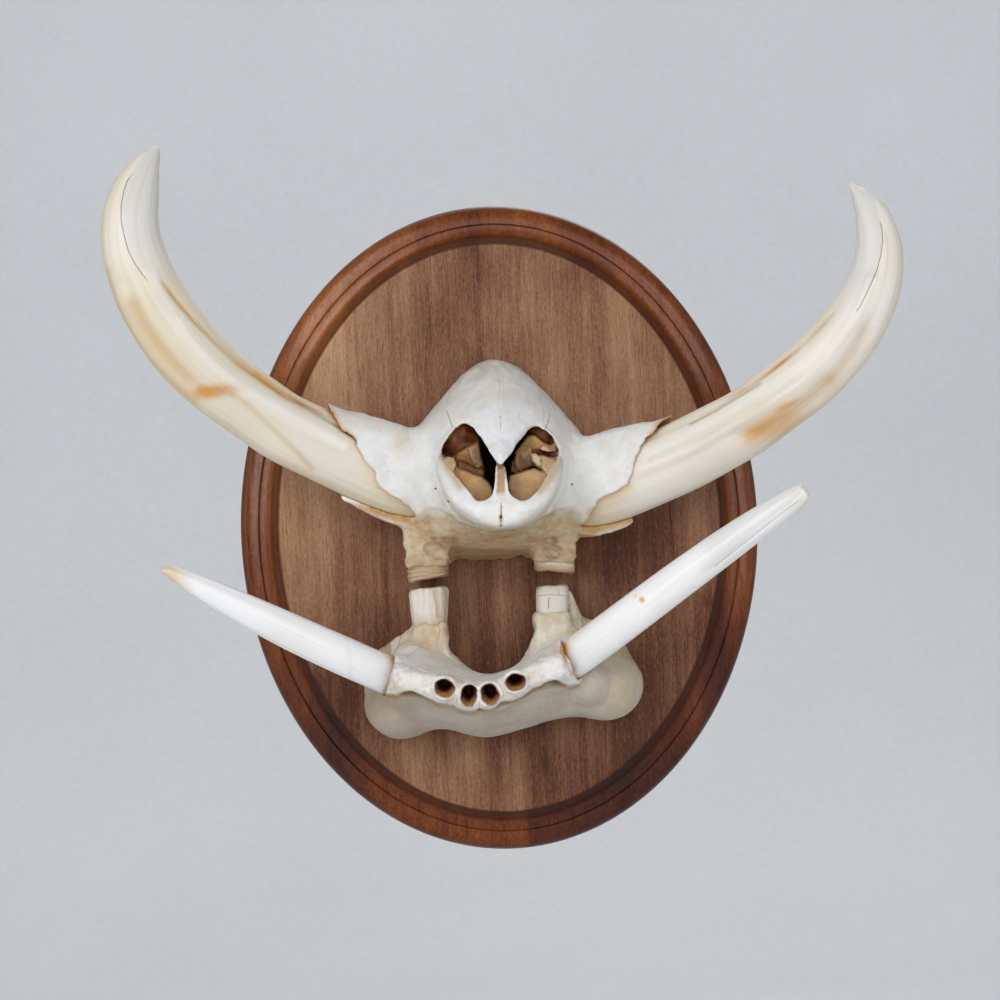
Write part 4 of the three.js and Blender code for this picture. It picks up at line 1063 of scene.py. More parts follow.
R_RIM = [(668, 417), (662, 421), (658, 426), (655, 431), (652, 434), (646, 438), (643, 443), (640, 449), (636, 457),
         (633, 465), (632, 472), (630, 479), (626, 485), (620, 489), (614, 493), (607, 495), (601, 498), (597, 502),
         (594, 507), (592, 513), (589, 518), (584, 523), (582, 527)]


def upper_left_shape(u, v, a, row, front):
    s = smoothstep(12.2, 10.6, row)
    lift = -0.50 * line_of(u, v, L_STREAK, 2.6) * front * s
    lift += -1.35 * line_of(u, v, L_FLUTE, 7.5) * front
    lift += 0.95 * line_of(u, v, L_RIDGE, 6.5) * front
    lift += -0.60 * line_of(u, v, L_FOLD, 3.0) * front + 0.30 * line_of(u, v, L_BROW, 5.0) * front
    lift += -0.22 * line_of(u, v, L_CRACK, 1.6) * front
    lift += -0.5 * bump_of(a, 250, 22) * smoothstep(13, 10, row) - 0.35 * bump_of(a, 205, 9) * s
    lift += -0.35 * bump_of(a, -40, 12) * s
    return lift


def upper_left_paint(u, v, a, row, front, along):
    wav = 0.5 + 0.5 * np.sin(along * 0.11 + 1.0) * np.sin(along * 0.043)
    s_line = line_of(u, v, L_STREAK, 2.3)
    far = smoothstep(300, 280, u)
    ochre = front * s_line * far * (0.35 + 0.45 * wav) * smoothstep(158, 172, u)
    ochre = ochre + front * spot_of(u, v, (214, 391), 23, 7.0, 4) * 0.85
    ochre = ochre + front * spot_of(u, v, (201, 396), 11, 7, 20) * 0.3
    ochre = ochre + front * line_of(u, v, L_RIM[:6], 3.6) * 0.75
    tan = front * line_of(u, v, L_FLUTE[1:6], 8.5) * (0.60 + 0.25 * wav) + front * line_of(u, v, L_FOLD, 3.4) * 0.46
    # Painted shade: a tan line just inside the outer edge.
    tan = tan + front * line_of(u, v, [(107, 270), (118, 305), (133, 335), (150, 360), (175, 385), (195, 401)], 2.4) * 0.50
    tan = tan + front * line_of(u, v, L_RIM[7:], 5.5) * 0.42
    tan = tan + front * line_of(u, v, L_STREAK[2:], 5.5) * 0.26 + front * line_of(u, v, L_STREAK[1:6], 5.0) * 0.30
    ochre = ochre + front * line_of(u, v, [(322, 413), (300, 402), (280, 391), (256, 373)], 2.2) * 0.30
    tan = tan + 0.45 * bump_of(a, 262, 16) * smoothstep(12, 9, row) * smoothstep(4, 7, row)
    cream = 0.30 + 0.34 * smoothstep(120, 165, a) * smoothstep(300, 230, a)
    cream = cream + 0.26 * front * smoothstep(12.5, 10.5, row) * smoothstep(5, 8, row)
    # Painted highlight: less cream along the ridge.
    cream = cream * (1 - 0.95 * front * line_of(u, v, L_RIDGE, 7.5))
    cream = cream + 0.35 * smoothstep(345, 395, u) * front
    past = side_of(u, v, L_CRACK)
    grey = 0.75 * front * smoothstep(-1, 3, past) * smoothstep(10.6, 12.6, row)
    # umber: painted shadow in the crease of the streak near the socket, a faint stain along the rest, and a dark joint
    # line at the sleeve.
    umber = front * s_line * ((1 - far) * 0.55 + far * 0.14 * smoothstep(160, 172, u)) + front * line_of(u, v, [(344, 431), (353, 437), (357, 444)], 1.4) * 0.8
    crack = side_of(u, v, L_CRACK) * 0.44
    cracked = (front > 0.2) * line_of(u, v, L_CRACK[1:-1], 7.0) * 1.6 - 0.25
    return dict(ochre=ochre, tan=tan, cream=cream, grey=grey, umber=umber, crack=crack, cracked=cracked)


def upper_right_shape(u, v, a, row, front):
    s = smoothstep(12.6, 10.8, row)
    lift = -0.50 * line_of(u, v, R_STREAK, 2.6) * front * s
    lift += -1.2 * line_of(u, v, R_FLUTE, 8.0) * front
    lift += 0.9 * line_of(u, v, R_RIDGE, 7.0) * front
    lift += -0.30 * line_of(u, v, R_FOLD, 4.0) * front
    lift += -0.22 * line_of(u, v, R_CRACK, 1.6) * front
    lift += -0.5 * bump_of(a, 250, 22) * smoothstep(13, 10, row) - 0.35 * bump_of(a, 205, 9) * s
    lift += -0.35 * bump_of(a, -40, 12) * s
    return lift


def upper_right_paint(u, v, a, row, front, along):
    wav = 0.5 + 0.5 * np.sin(along * 0.17 + 0.6) * np.sin(along * 0.061 + 0.5)
    s_line = line_of(u, v, R_STREAK, 2.0)
    ochre = front * s_line * smoothstep(715, 745, u) * smoothstep(836, 820, u) * (0.15 + 0.85 * wav)
    ochre = ochre + front * spot_of(u, v, (774, 427), 32, 13, 24) * 0.56
    ochre = ochre + front * spot_of(u, v, (786, 406), 14, 3.5, 24) * 0.55 + front * spot_of(u, v, (758, 432), 12, 5, 24) * 0.25
    ochre = ochre + front * line_of(u, v, R_RIM[:6], 4.0) * 0.55
    tan = front * line_of(u, v, [(752, 434), (780, 421), (806, 402), (826, 384)], 13) * 0.58
    tan = tan + front * line_of(u, v, [(832, 380), (855, 352), (866, 330)], 7) * 0.35
    tan = tan + front * line_of(u, v, R_RIM[12:], 8.0) * 0.55
    tan = tan + 0.45 * bump_of(a, 262, 16) * smoothstep(12, 9, row) * smoothstep(4, 7, row)
    cream = 0.10 + 0.30 * smoothstep(125, 170, a) * smoothstep(300, 230, a)
    cream = cream + 0.45 * front * smoothstep(650, 600, u)
    cream = cream + 0.35 * front * line_of(u, v, R_STREAK, 6)
    # Painted highlight: less cream along the ridge.
    cream = cream * (1 - 0.6 * front * line_of(u, v, R_RIDGE, 7.0)) + 0.30 * front * line_of(u, v, R_FOLD, 3.4)
    past = side_of(u, v, R_CRACK)
    grey = 0.6 * front * smoothstep(1, -3, past) * smoothstep(10.2, 12.2, row)
    umber = front * line_of(u, v, [(690, 424), (715, 411), (735, 399), (760, 384)], 1.5) * 0.35
    crack = side_of(u, v, R_CRACK) * 0.44
    cracked = (front > 0.2) * line_of(u, v, R_CRACK[1:-1], 7.0) * 1.6 - 0.25
    return dict(ochre=ochre, tan=tan, cream=cream, grey=grey, umber=umber, crack=crack, cracked=cracked)


def lower_left_shape(u, v, a, row, front):
    lift = -0.30 * bump_of(a, 40, 16) * smoothstep(6.5, 9, row)
    lift += -0.12 * line_of(u, v, [(346, 634), (351, 655), (350, 678)], 1.6) * front
    return lift - 0.25 * bump_of(a, 255, 25)


def lower_left_paint(u, v, a, row, front, along):
    cream = 0.04 + 0.75 * smoothstep(200, 172, u) + 0.25 * smoothstep(140, 175, a)
    tan = 0.32 * smoothstep(184, 164, u) + 0.10 * front * line_of(u, v, [(346, 634), (351, 655), (350, 678)], 2.5)
    ochre = 0.10 * smoothstep(178, 163, u) + 0.55 * line_of(u, v, [(390, 652), (394, 664), (391, 680), (384, 692)], 2.2) + 0.3 * line_of(u, v, [(388, 652), (391, 662)], 4.0)
    return dict(cream=cream, tan=tan, ochre=ochre)


def lower_right_shape(u, v, a, row, front):
    facet = [(800, 492), (785, 508), (765, 525), (740, 545), (715, 565), (690, 585)]
    lift = -0.40 * line_of(u, v, facet, 3.0) * front * smoothstep(690, 715, u)
    lift += -0.25 * line_of(u, v, [(803, 500), (780, 522), (755, 543), (725, 566)], 3.0) * front
    return lift - 0.25 * bump_of(a, 255, 25)


def lower_right_paint(u, v, a, row, front, along):
    facet = [(800, 492), (785, 508), (765, 525), (740, 545), (715, 565), (690, 585)]
    grey = 0.55 * front * smoothstep(0, 4, -side_of(u, v, facet)) * smoothstep(690, 720, u)
    cream = 0.06 + 0.22 * smoothstep(780, 800, u) + 0.2 * smoothstep(140, 175, a)
    ochre = 0.85 * front * spot_of(u, v, (642, 600), 2.6, 3.4, 35) + 0.35 * front * spot_of(u, v, (636, 596), 2, 1.6, 35)
    ochre = ochre + 0.9 * line_of(u, v, [(564, 645), (566, 658), (571, 668), (578, 676)], 2.6) * smoothstep(676, 654, v) + 0.3 * line_of(u, v, [(564, 645), (566, 658), (571, 668), (578, 676)], 2.2)
    tan = 0.35 * front * line_of(u, v, [(566, 645), (568, 656), (573, 667)], 5.0)
    umber = 0.22 * front * line_of(u, v, facet, 1.4) * smoothstep(700, 720, u)
    groove = [(798, 501), (785, 511), (765, 527), (740, 547), (715, 567)]
    crack = side_of(u, v, groove) * 0.44
    cracked = (front > 0.2) * line_of(u, v, groove, 7.0) * 0.9 - 0.25
    return dict(cream=cream, grey=grey, tan=tan, ochre=ochre, umber=umber, crack=crack, cracked=cracked)


def build_tusks():
    sides, steps = ((144, 400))
    build_tusk("tusk_upper_left", "upper_tusk_left", UPPER_TUSK_LEFT, False, upper_left_shape, upper_left_paint, 0.8,
               sides, steps, end=(2.7, 2.6))
    build_tusk("tusk_upper_right", "upper_tusk_right", UPPER_TUSK_RIGHT, True, upper_right_shape, upper_right_paint, 1.0,
               sides, steps)
    build_tusk("tusk_lower_left", "lower_tusk_left", LOWER_TUSK_LEFT, False, lower_left_shape, lower_left_paint, 1.0,
               96, 330, WHITE_IVORY)
    build_tusk("tusk_lower_right", "lower_tusk_right", LOWER_TUSK_RIGHT, True, lower_right_shape, lower_right_paint, 0.5,
               96, 330, WHITE_IVORY)


# --------------------------------------------------------- screws and hanger
def build_screws():
    for name, (x, z) in JAW_SCREWS.items():
        sides = 48
        a = np.arange(sides) / sides * 2 * np.pi
        top = -0.4
        rings = []
        # The head's face, dished by a cross recess, then its cone and a threaded shank.
        for r in np.linspace(0.12, 3.85, 22):
            px, pz = r * np.cos(a), r * np.sin(a)
            across_ = np.minimum(np.abs(px), np.abs(pz))
            deep = smoothstep(0.62, 0.34, across_) * smoothstep(2.35, 1.7, r)
            deep = np.maximum(deep, smoothstep(1.15, 0.6, r))
            y = top - 0.10 * (r / 3.85) ** 2 - 1.25 * deep * (1 - 0.25 * r / 2.2)
            rings.append(np.stack([x + px, y, z + pz], -1))
        for r, y in ((3.97, top - 0.18), (4.0, top - 0.34), (3.9, top - 0.52), (1.85, top - 2.9)):
            rings.append(np.stack([x + r * np.cos(a), np.full(sides, y), z + r * np.sin(a)], -1))
        turns = 15
        for t in np.linspace(0, 1, 150)[1:]:
            y = top - 2.9 - t * 25.6
            taper = 1 - smoothstep(0.84, 1.0, t) * 0.8
            thread = smoothstep(0.2, 0.3, t)
            wave = 0.5 + 0.5 * np.cos(2 * np.pi * t * turns * 1.6 - a)
            r = (1.45 + 0.38 * np.where(thread > 0, wave ** 3, 1) * 1.0) * taper
            rings.append(np.stack([x + r * np.cos(a), np.full(sides, y), z + r * np.sin(a)], -1))
        v, q, t = closed_tube(np.array(rings))
        ob = make("wood_screw_" + name.replace("_screw", ""), v, q, t)
        put(ob, name, STEEL)
        sharpen(ob, 42)


def build_hanger():
    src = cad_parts["hanger"]
    me = src.data.copy()
    me.transform(src.matrix_world)
    ob = bpy.data.objects.new("hanger_strip", me)
    bpy.context.scene.collection.objects.link(ob)
    import bmesh
    bm = bmesh.new()
    bm.from_mesh(me)
    bmesh.ops.remove_doubles(bm, verts=bm.verts, dist=1e-6)
    bmesh.ops.dissolve_limit(bm, angle_limit=0.02, verts=bm.verts, edges=bm.edges)
    bm.to_mesh(me)
    bm.free()
    mod = ob.modifiers.new("soft edges", "BEVEL")
    mod.width, mod.segments, mod.limit_method = 0.00016, 2, "ANGLE"
    mod.angle_limit = math.radians(30)
    mod.use_clamp_overlap = True
    apply_modifiers(ob)
    put(ob, "hanger", BRASS)
    sharpen(ob, 35)
    for side, name in ((-1, "left"), (1, "right")):
        x, z, top = side * 18.6, HANGER_Z + 1.5, -1.3
        a = np.arange(40) / 40 * 2 * np.pi
        rings = [[(x + r * math.cos(t), top + y, z + r * math.sin(t)) for t in a] for r, y in (
            (0.2, 0.42), (0.7, 0.38), (1.2, 0.24), (1.6, 0.05), (1.85, -0.2), (1.92, -0.4), (1.85, -0.55),
            (1.5, -0.66), (0.72, -0.72), (0.70, -0.9), (0.70, -9.3), (0.35, -10.1), (0.06, -10.5))]
        v, q, t = closed_tube(np.array(rings, float))
        nail = make("nail_" + name, v, q, t)
        put(nail, "hanger_nail_" + name, BRASS)
        sharpen(nail, 50)


# --------------------------------------------------------------------- teeth
def build_tooth(name, node, centre, size, folds, lean, paint, wear, taper=0.0, layers=False):
    """A worn cheek tooth: a rounded block with enamel folds down its sides and
    a worn, ridged grinding face. wear is +1 where that face is on top, else -1."""
    sides, steps = 120, 72
    t = np.linspace(-1, 1, steps)
    a = np.arange(sides) / sides * 2 * np.pi
    A, T = np.meshgrid(a, t)
    c, s = np.cos(A), np.sin(A)
    square = (np.abs(c) ** 3.4 + np.abs(s) ** 3.4) ** (-1 / 3.4)
    ends = np.sqrt(np.clip(1 - np.clip((np.abs(T) - 0.74) / 0.26, 0, 1) ** 2, 0, 1)) * 0.17 + 0.83
    ends = np.where(np.abs(T) >= 0.999, 0.80, ends)
    r = square * ends
    r = r * (1 + 0.020 * folds * np.cos(5 * A + 0.7) + 0.012 * folds * np.cos(9 * A + 2.0))
    q = np.stack([A * 0 + c * 6, T * 3, s * 6], -1)
    r = r * (1 + 0.034 * noise(q, (2.6, 3.0, 2.6), 1) + 0.016 * noise(q, (1.1, 1.6, 1.1), 2) + 0.006 * noise(q, (0.5, 0.7, 0.5), 3))
    if layers:
        r = r * (1 + 0.020 * np.sin((T * size[2] / 2) * 3.3 + 0.6 * np.sin(2 * A)) * smoothstep(0.05, 0.3, T * wear))
    r = r * (1 + taper * T * wear)
    x = centre[0] + size[0] / 2 * r * c + lean[0] * T
    y = centre[1] + size[1] / 2 * r * s
    z = centre[2] + size[2] / 2 * T + lean[1] * c * smoothstep(0.2, 1.0, T * wear)
    z = z + 0.75 * noise(q, (2.4, 50.0, 2.4), 7) * smoothstep(0.2, 1.0, T * wear)
    rings = [np.stack([x[i], y[i], z[i]], -1) for i in range(steps)]
    # The grinding face and the hidden root face close the ends in shrinking rings.
    def cap(ring, up, worn):
        mid = ring.mean(0)
        out = []
        for f in np.linspace(1, 0.03, 16)[1:]:
            p = mid + (ring - mid) * f
            rr = f
            h = 0.0
            if worn:
                h = (0.30 * math.sin(13 * rr) * (1 - rr) - 0.55 * (1 - rr ** 2) * 0.6)
                p = p.copy()
                p[:, 2] += up * (h + 0.12 * noise(p, (1.3, 1.3, 1.3), 4))
            out.append(p)
        return out
    top, low = cap(rings[-1], 1, wear > 0), cap(rings[0], -1, wear < 0)
    rings = np.array(low[::-1] + rings + top)
    v, q_, t_ = closed_tube(rings)
    ob = make(name, v, q_, t_)
    p = points_of(ob)
    for key, val in paint(p, *seen(p)).items():
        val = np.broadcast_to(val, len(p))
        values(ob, key, val if key == "seam" else np.clip(val, 0, 1))
    put(ob, node, TOOTH)
    return ob


def stains(**given):
    out = {k: 0.0 for k in ("cream", "grey", "tan", "ochre", "umber", "deep_shade", "seamed")}
    out["seam"] = 9.0
    out.update(given)
    return out


def build_teeth():
    def upper_left(p, u, v):
        down = smoothstep(-14, -21, p[:, 2])
        lines = 0.5 + 0.5 * np.sin(p[:, 2] * 3.4 + 0.5 * np.sin(p[:, 0] * 0.6))
        mud = smoothstep(0.0, 0.6, fractal(p, (3.0, 3.0, 1.6), 3, 5))
        return stains(cream=0.85, grey=0.30 * down + 0.35 * down * lines + 0.1 * mud, tan=0.30 * lines * down + 0.56 + 0.12 * mud, umber=0.12 + 0.12 * lines * down)

    def upper_right(p, u, v):
        band = line_of(u, v, [(532, 561), (541, 562.5), (556, 563.5), (578, 566)], 1.4) * (0.75 + 0.5 * fractal(p, (2, 4, 1), 2, 3))
        down = smoothstep(0, -4, side_of(u, v, [(530, 563), (541, 564), (556, 566), (580, 569)]))
        mud = smoothstep(0.0, 0.6, fractal(p, (3.0, 3.0, 1.6), 3, 5)) * (1 - band)
        return stains(cream=np.clip(0.9 - band, 0, 1), grey=0.55 * down + 0.1 * mud, tan=0.66 * down + 0.54 * (1 - band) * (1 - down) + 0.1 * mud, ochre=0.10 * (1 - band),
                      umber=0.22 * down * (0.5 + 0.5 * np.sin(p[:, 2] * 4.1)))

    def lower_left(p, u, v):
        fold = 0.5 + 0.5 * np.sin(p[:, 0] * 2.1 + 0.25 * p[:, 2] + 1.4 * np.sin(p[:, 2] * 0.3))
        seam, seamed = hairlines(u, v, [[(414, 591), (412, 604), (415, 618)], [(433, 590), (436, 603), (437, 616)],
                                        [(423, 590), (425, 601), (423, 611)], [(441, 591), (443, 604), (441, 618)], [(445, 592), (447, 604), (445, 612)]], [0.20, 0.45, 0.12, 0.40, 0.3])
        return stains(cream=0.28 + 0.25 * fold, tan=0.10 + 0.20 * fold * smoothstep(-29, -27, p[:, 2]) + 0.40 * smoothstep(-34, -41, p[:, 2]) + 0.16 * smoothstep(428, 438, u)
                      + 0.40 * line_of(u, v, [(434, 590), (437, 604), (438, 616)], 2.5), seam=seam, seamed=seamed)

    def lower_right(p, u, v):
        seam, seamed = hairlines(u, v, [[(548.6, 599), (548.8, 604), (548.4, 608)], [(538, 596), (552, 594.5), (567, 596)],
                                        [(558, 590), (560, 594)]], [1.0, 0.6, 0.4])
        return stains(cream=0.40, grey=0.30 * smoothstep(-30, -28, p[:, 2]), tan=0.08 + 0.2 * smoothstep(-36, -40, p[:, 2]),
                      seam=seam, seamed=seamed)

    build_tooth("tooth_upper_left", "upper_cheek_tooth_left", (-32.0, -34.0, -13.5), (17.5, 25.2, 15.6), 1.0, (0.3, 1.2),
                upper_left, -1, layers=True)
    build_tooth("tooth_upper_right", "upper_cheek_tooth_right", (23.6, -34.0, -12.9), (17.5, 25.2, 14.8), 0.6, (0.2, -0.9),
                upper_right, -1)
    build_tooth("tooth_lower_left", "lower_cheek_tooth_left", (-32.3, -34.0, -34.6), (16.0, 22.0, 19.2), 1.6, (0.2, 0.6),
                lower_left, 1, taper=0.10)
    build_tooth("tooth_lower_right", "lower_cheek_tooth_right", (22.0, -34.0, -34.6), (14.2, 20.8, 16.6), 0.6, (0.3, 0.2),
                lower_right, 1, taper=0.02)


# ---------------------------------------------------------------- upper jaw
def hairlines(u, v, lines, force):
    """Signed distance in millimetres to the nearest of some lines, and how far it counts."""
    best = np.full(u.shape, 1e9)
    seam, seamed = np.full(u.shape, 9.0), np.zeros(u.shape)
    for line, f in zip(lines, force):
        d, _ = to_outline(u, v, line, closed=False)
        near = d < best
        seam = np.where(near, side_of(u, v, line) * 0.44, seam)
        inner = np.array(line, float)
        inner[0] += (inner[1] - inner[0]) * 0.15
        inner[-1] += (inner[-2] - inner[-1]) * 0.15
        e, _ = to_outline(u, v, inner, closed=False)
        seamed = np.where(near, f * smoothstep(3.2, 1.6, e), seamed)
        best = np.where(near, d, best)
    return seam, seamed


def rounded_box_at(p, centre, size):
    q = np.abs(p - np.array(centre)) - np.array(size) / 2
    return q.max(1)


def wrap(a):
    return (a + np.pi) % (2 * np.pi) - np.pi


def sleeve(mirror, table):
    """How far the sleeve of bone stands out from the tusk, by angle and row."""
    def grow(phi, u):
        a = wrap(np.pi - phi if mirror else phi)
        total = np.interp(u, *table["base"])
        total = total + np.exp(-(a / 0.95) ** 2) * np.interp(u, *table["top"])
        return total + np.exp(-(wrap(a - np.pi) / 0.85) ** 2) * np.interp(u, *table["low"])
    return grow


def rounded_box(vol, centre, size, r):
    qx = np.abs(vol.x - centre[0]) - (size[0] / 2 - r)
    qy = np.abs(vol.y - centre[1]) - (size[1] / 2 - r)
    qz = np.abs(vol.z - centre[2]) - (size[2] / 2 - r)
    out = np.sqrt(np.maximum(qx, 0) ** 2 + np.maximum(qy, 0) ** 2 + np.maximum(qz, 0) ** 2)
    return (out + np.minimum(np.maximum(qx, np.maximum(qy, qz)), 0) - r).astype("f4")


def plate(vol, outline_px, y):
    """Signed distance in x and z to an outline that the camera sees at depth y, for the whole block."""
    outline = [at(u, v, y) for u, v in outline_px]
    return signed(vol.x[:, 0, :], vol.z[0, :, :] + 0 * vol.x[:, 0, :], outline)[:, None, :].astype("f4")


def px(*numbers):
    """Outline from pairs given in sixths of a pixel about the nasal opening."""
    return [(425 + a / 6, 405 + b / 6) for a, b in zip(numbers[::2], numbers[1::2])]


# What shows inside the nasal opening: outline, depth at its middle, how the depth
# grows to the right and upwards, how domed it is, and the stains on it, with painted black shade in a dark slot.
INSIDE = [
    (px(60, 270, 120, 170, 225, 70, 300, 130, 335, 215, 342, 320, 362, 390, 404, 492, 420, 560, 375, 620, 300, 640, 200, 560, 90, 400),
     -67, 0.0, 0.0, 0.0, dict(tan=1.0, umber=0.85, ochre=0.3)),
    (px(506, 415, 514, 350, 545, 296, 575, 232, 640, 100, 680, 80, 775, 180, 830, 300, 820, 380, 740, 500, 650, 620, 550, 620, 505, 560, 496, 480),
     -68, 0.0, 0.0, 0.0, dict(tan=1.0, umber=0.80, ochre=0.3)),
    (px(70, 260, 120, 180, 170, 120, 225, 80, 270, 110, 320, 165, 350, 215, 320, 232, 250, 258, 180, 305, 130, 335, 80, 320),
     -70, 0.0, 0.10, 5.0, dict(tan=1.0, umber=0.97, ochre=0.9)),
    (px(165, 305, 250, 248, 322, 205, 336, 240, 345, 320, 366, 385, 350, 425, 290, 412, 240, 388, 190, 350),
     -75, 0.10, 0.0, 1.0, dict(tan=1.0, umber=0.46, ochre=0.60)),
    (px(262, 262, 318, 228, 330, 262, 338, 322, 352, 366, 322, 376, 292, 350, 270, 310),
     -77.5, 0.5, 0.1, 0.5, dict(tan=0.92, umber=0.20, cream=0.6)),
    (px(180, 380, 238, 440, 300, 470, 352, 470, 362, 400, 345, 380, 300, 372, 250, 345, 200, 325),
     -79, 0.0, 0.0, 0.0, dict(tan=1.0, umber=0.66, ochre=0.2)),
    (px(70, 285, 130, 306, 172, 312, 186, 345, 190, 375, 186, 430, 200, 470, 150, 430, 90, 360),
     -95.5, 0.75, 0.0, 0.0, dict(tan=0.86, cream=0.8, ochre=0.24)),
    (px(186, 372, 240, 394, 300, 418, 345, 430, 380, 458, 402, 490, 416, 520, 410, 560, 375, 600, 330, 620, 280, 600, 220, 540, 180, 480, 172, 420),
     -93.2, 0.0, 0.42, 1.6, dict(cream=1.0, tan=0.48, ochre=0.62)),
    (px(575, 235, 620, 170, 660, 185, 700, 212, 752, 240, 790, 232, 790, 275, 690, 268, 636, 262, 600, 262, 560, 262),
     -73, 0.0, 0.25, 0.5, dict(tan=1.0, umber=0.18, ochre=0.36)),
    (px(600, 190, 640, 110, 670, 90, 712, 120, 750, 165, 775, 215, 752, 240, 712, 222, 676, 190, 640, 176),
     -67, 0.0, 0.2, 2.5, dict(tan=1.0, umber=0.86, ochre=0.8)),
    (px(480, 345, 530, 285, 575, 232, 600, 245, 640, 255, 690, 270, 640, 288, 632, 320, 645, 345, 668, 362, 600, 388, 550, 404, 505, 412, 492, 380),
     -76.5, -0.15, 0.0, 1.0, dict(tan=1.0, umber=0.16, ochre=0.42)),
    (px(588, 285, 622, 282, 632, 325, 612, 352, 585, 330, 576, 305),
     -77, 0.2, 0.0, 0.0, dict(tan=0.9, umber=0.12, cream=0.6)),
    (px(540, 318, 552, 312, 556, 372, 545, 380), -77, 0.0, 0.0, 0.0, dict(tan=0.95, umber=0.1)),
    # A dark slot: its black is painted shade.
    (px(482, 350, 528, 292, 540, 300, 512, 350, 506, 412, 484, 425), -58, 0.0, 0.0, 0.0, dict(tan=1.0, umber=1.0, deep_shade=0.6)),
    (px(636, 262, 690, 268, 745, 280, 805, 278, 815, 312, 760, 312, 715, 300, 650, 297), -76, 0.0, 0.0, 0.0, dict(tan=1.0, umber=0.84, ochre=0.4)),
    (px(690, 262, 712, 243, 775, 250, 784, 276, 740, 279, 702, 273), -87, -0.1, 0.0, 0.3, dict(cream=1.0, tan=0.35, ochre=0.08)),
    (px(700, 296, 745, 312, 812, 308, 815, 360, 780, 420, 735, 480, 712, 446, 716, 405, 690, 378, 702, 340),
     -95, -0.65, -0.1, 0.0, dict(cream=0.9, tan=0.74, ochre=0.16)),
    (px(632, 291, 662, 292, 702, 312, 702, 345, 690, 382, 668, 372, 655, 352, 640, 344, 633, 318),
     -86, -0.3, 0.0, 0.4, dict(cream=1.0, tan=0.22)),
    (px(498, 424, 550, 408, 600, 392, 660, 378, 716, 402, 724, 424, 735, 470, 700, 530, 650, 590, 600, 620, 550, 600, 510, 560, 496, 500),
     -94.5, 0.0, 0.42, 1.6, dict(cream=1.0, tan=0.36, ochre=0.60)),
]


def smoothed(points, times=2):
    """The outline with its corners cut."""
    P = np.asarray(points, float)
    for _ in range(times):
        Q = np.roll(P, -1, axis=0)
        P = np.stack([0.78 * P + 0.22 * Q, 0.22 * P + 0.78 * Q], 1).reshape(-1, 2)
    return P


def relief(vol, y_far):
    """Depth over x and z of what shows inside the nasal opening."""
    X, Z = np.broadcast_arrays(vol.x[:, 0, :], vol.z[0])
    depth = np.full(X.shape, y_far)
    for outline, y0, gx, gz, dome, _ in INSIDE:
        P = np.array([at(u, v, y0) for u, v in outline])
        c = P.mean(0)
        r2 = ((X - c[0]) ** 2 + (Z - c[1]) ** 2) / ((P - c) ** 2).sum(1).mean()
        y = y0 + gx * (X - c[0]) + gz * (Z - c[1]) + dome * np.minimum(r2, 2.5)
        w = smoothstep(0.55, -0.55, signed(X, Z, P))
        depth = depth * (1 - w) + y * w
    return depth


# Where the front of the upper jaw turns under, from left to right.
BROW = [(404, 521), (415, 519), (425, 506), (438, 508), (451, 514), (460, 520.5), (470, 525), (480, 527.5), (490, 529),
        (500, 529.5), (510, 528.5), (520, 527), (530, 523.5), (539, 518), (548, 513), (560, 508.5), (574, 505), (586, 524), (600, 526)]


RING = [(437, 452), (435, 460), (437, 472), (441, 484), (445, 494), (451, 504), (456, 512), (462, 519), (470, 523.5),
        (480, 526.5), (490, 528), (500, 528.5), (510, 527.5), (520, 526), (530, 522.5), (538, 517), (544, 511),
        (550, 504), (556, 494), (560, 480), (563, 468), (565, 458), (563, 440), (556, 428), (545, 424), (530, 430),
        (501, 466), (470, 424), (452, 426), (441, 438)]


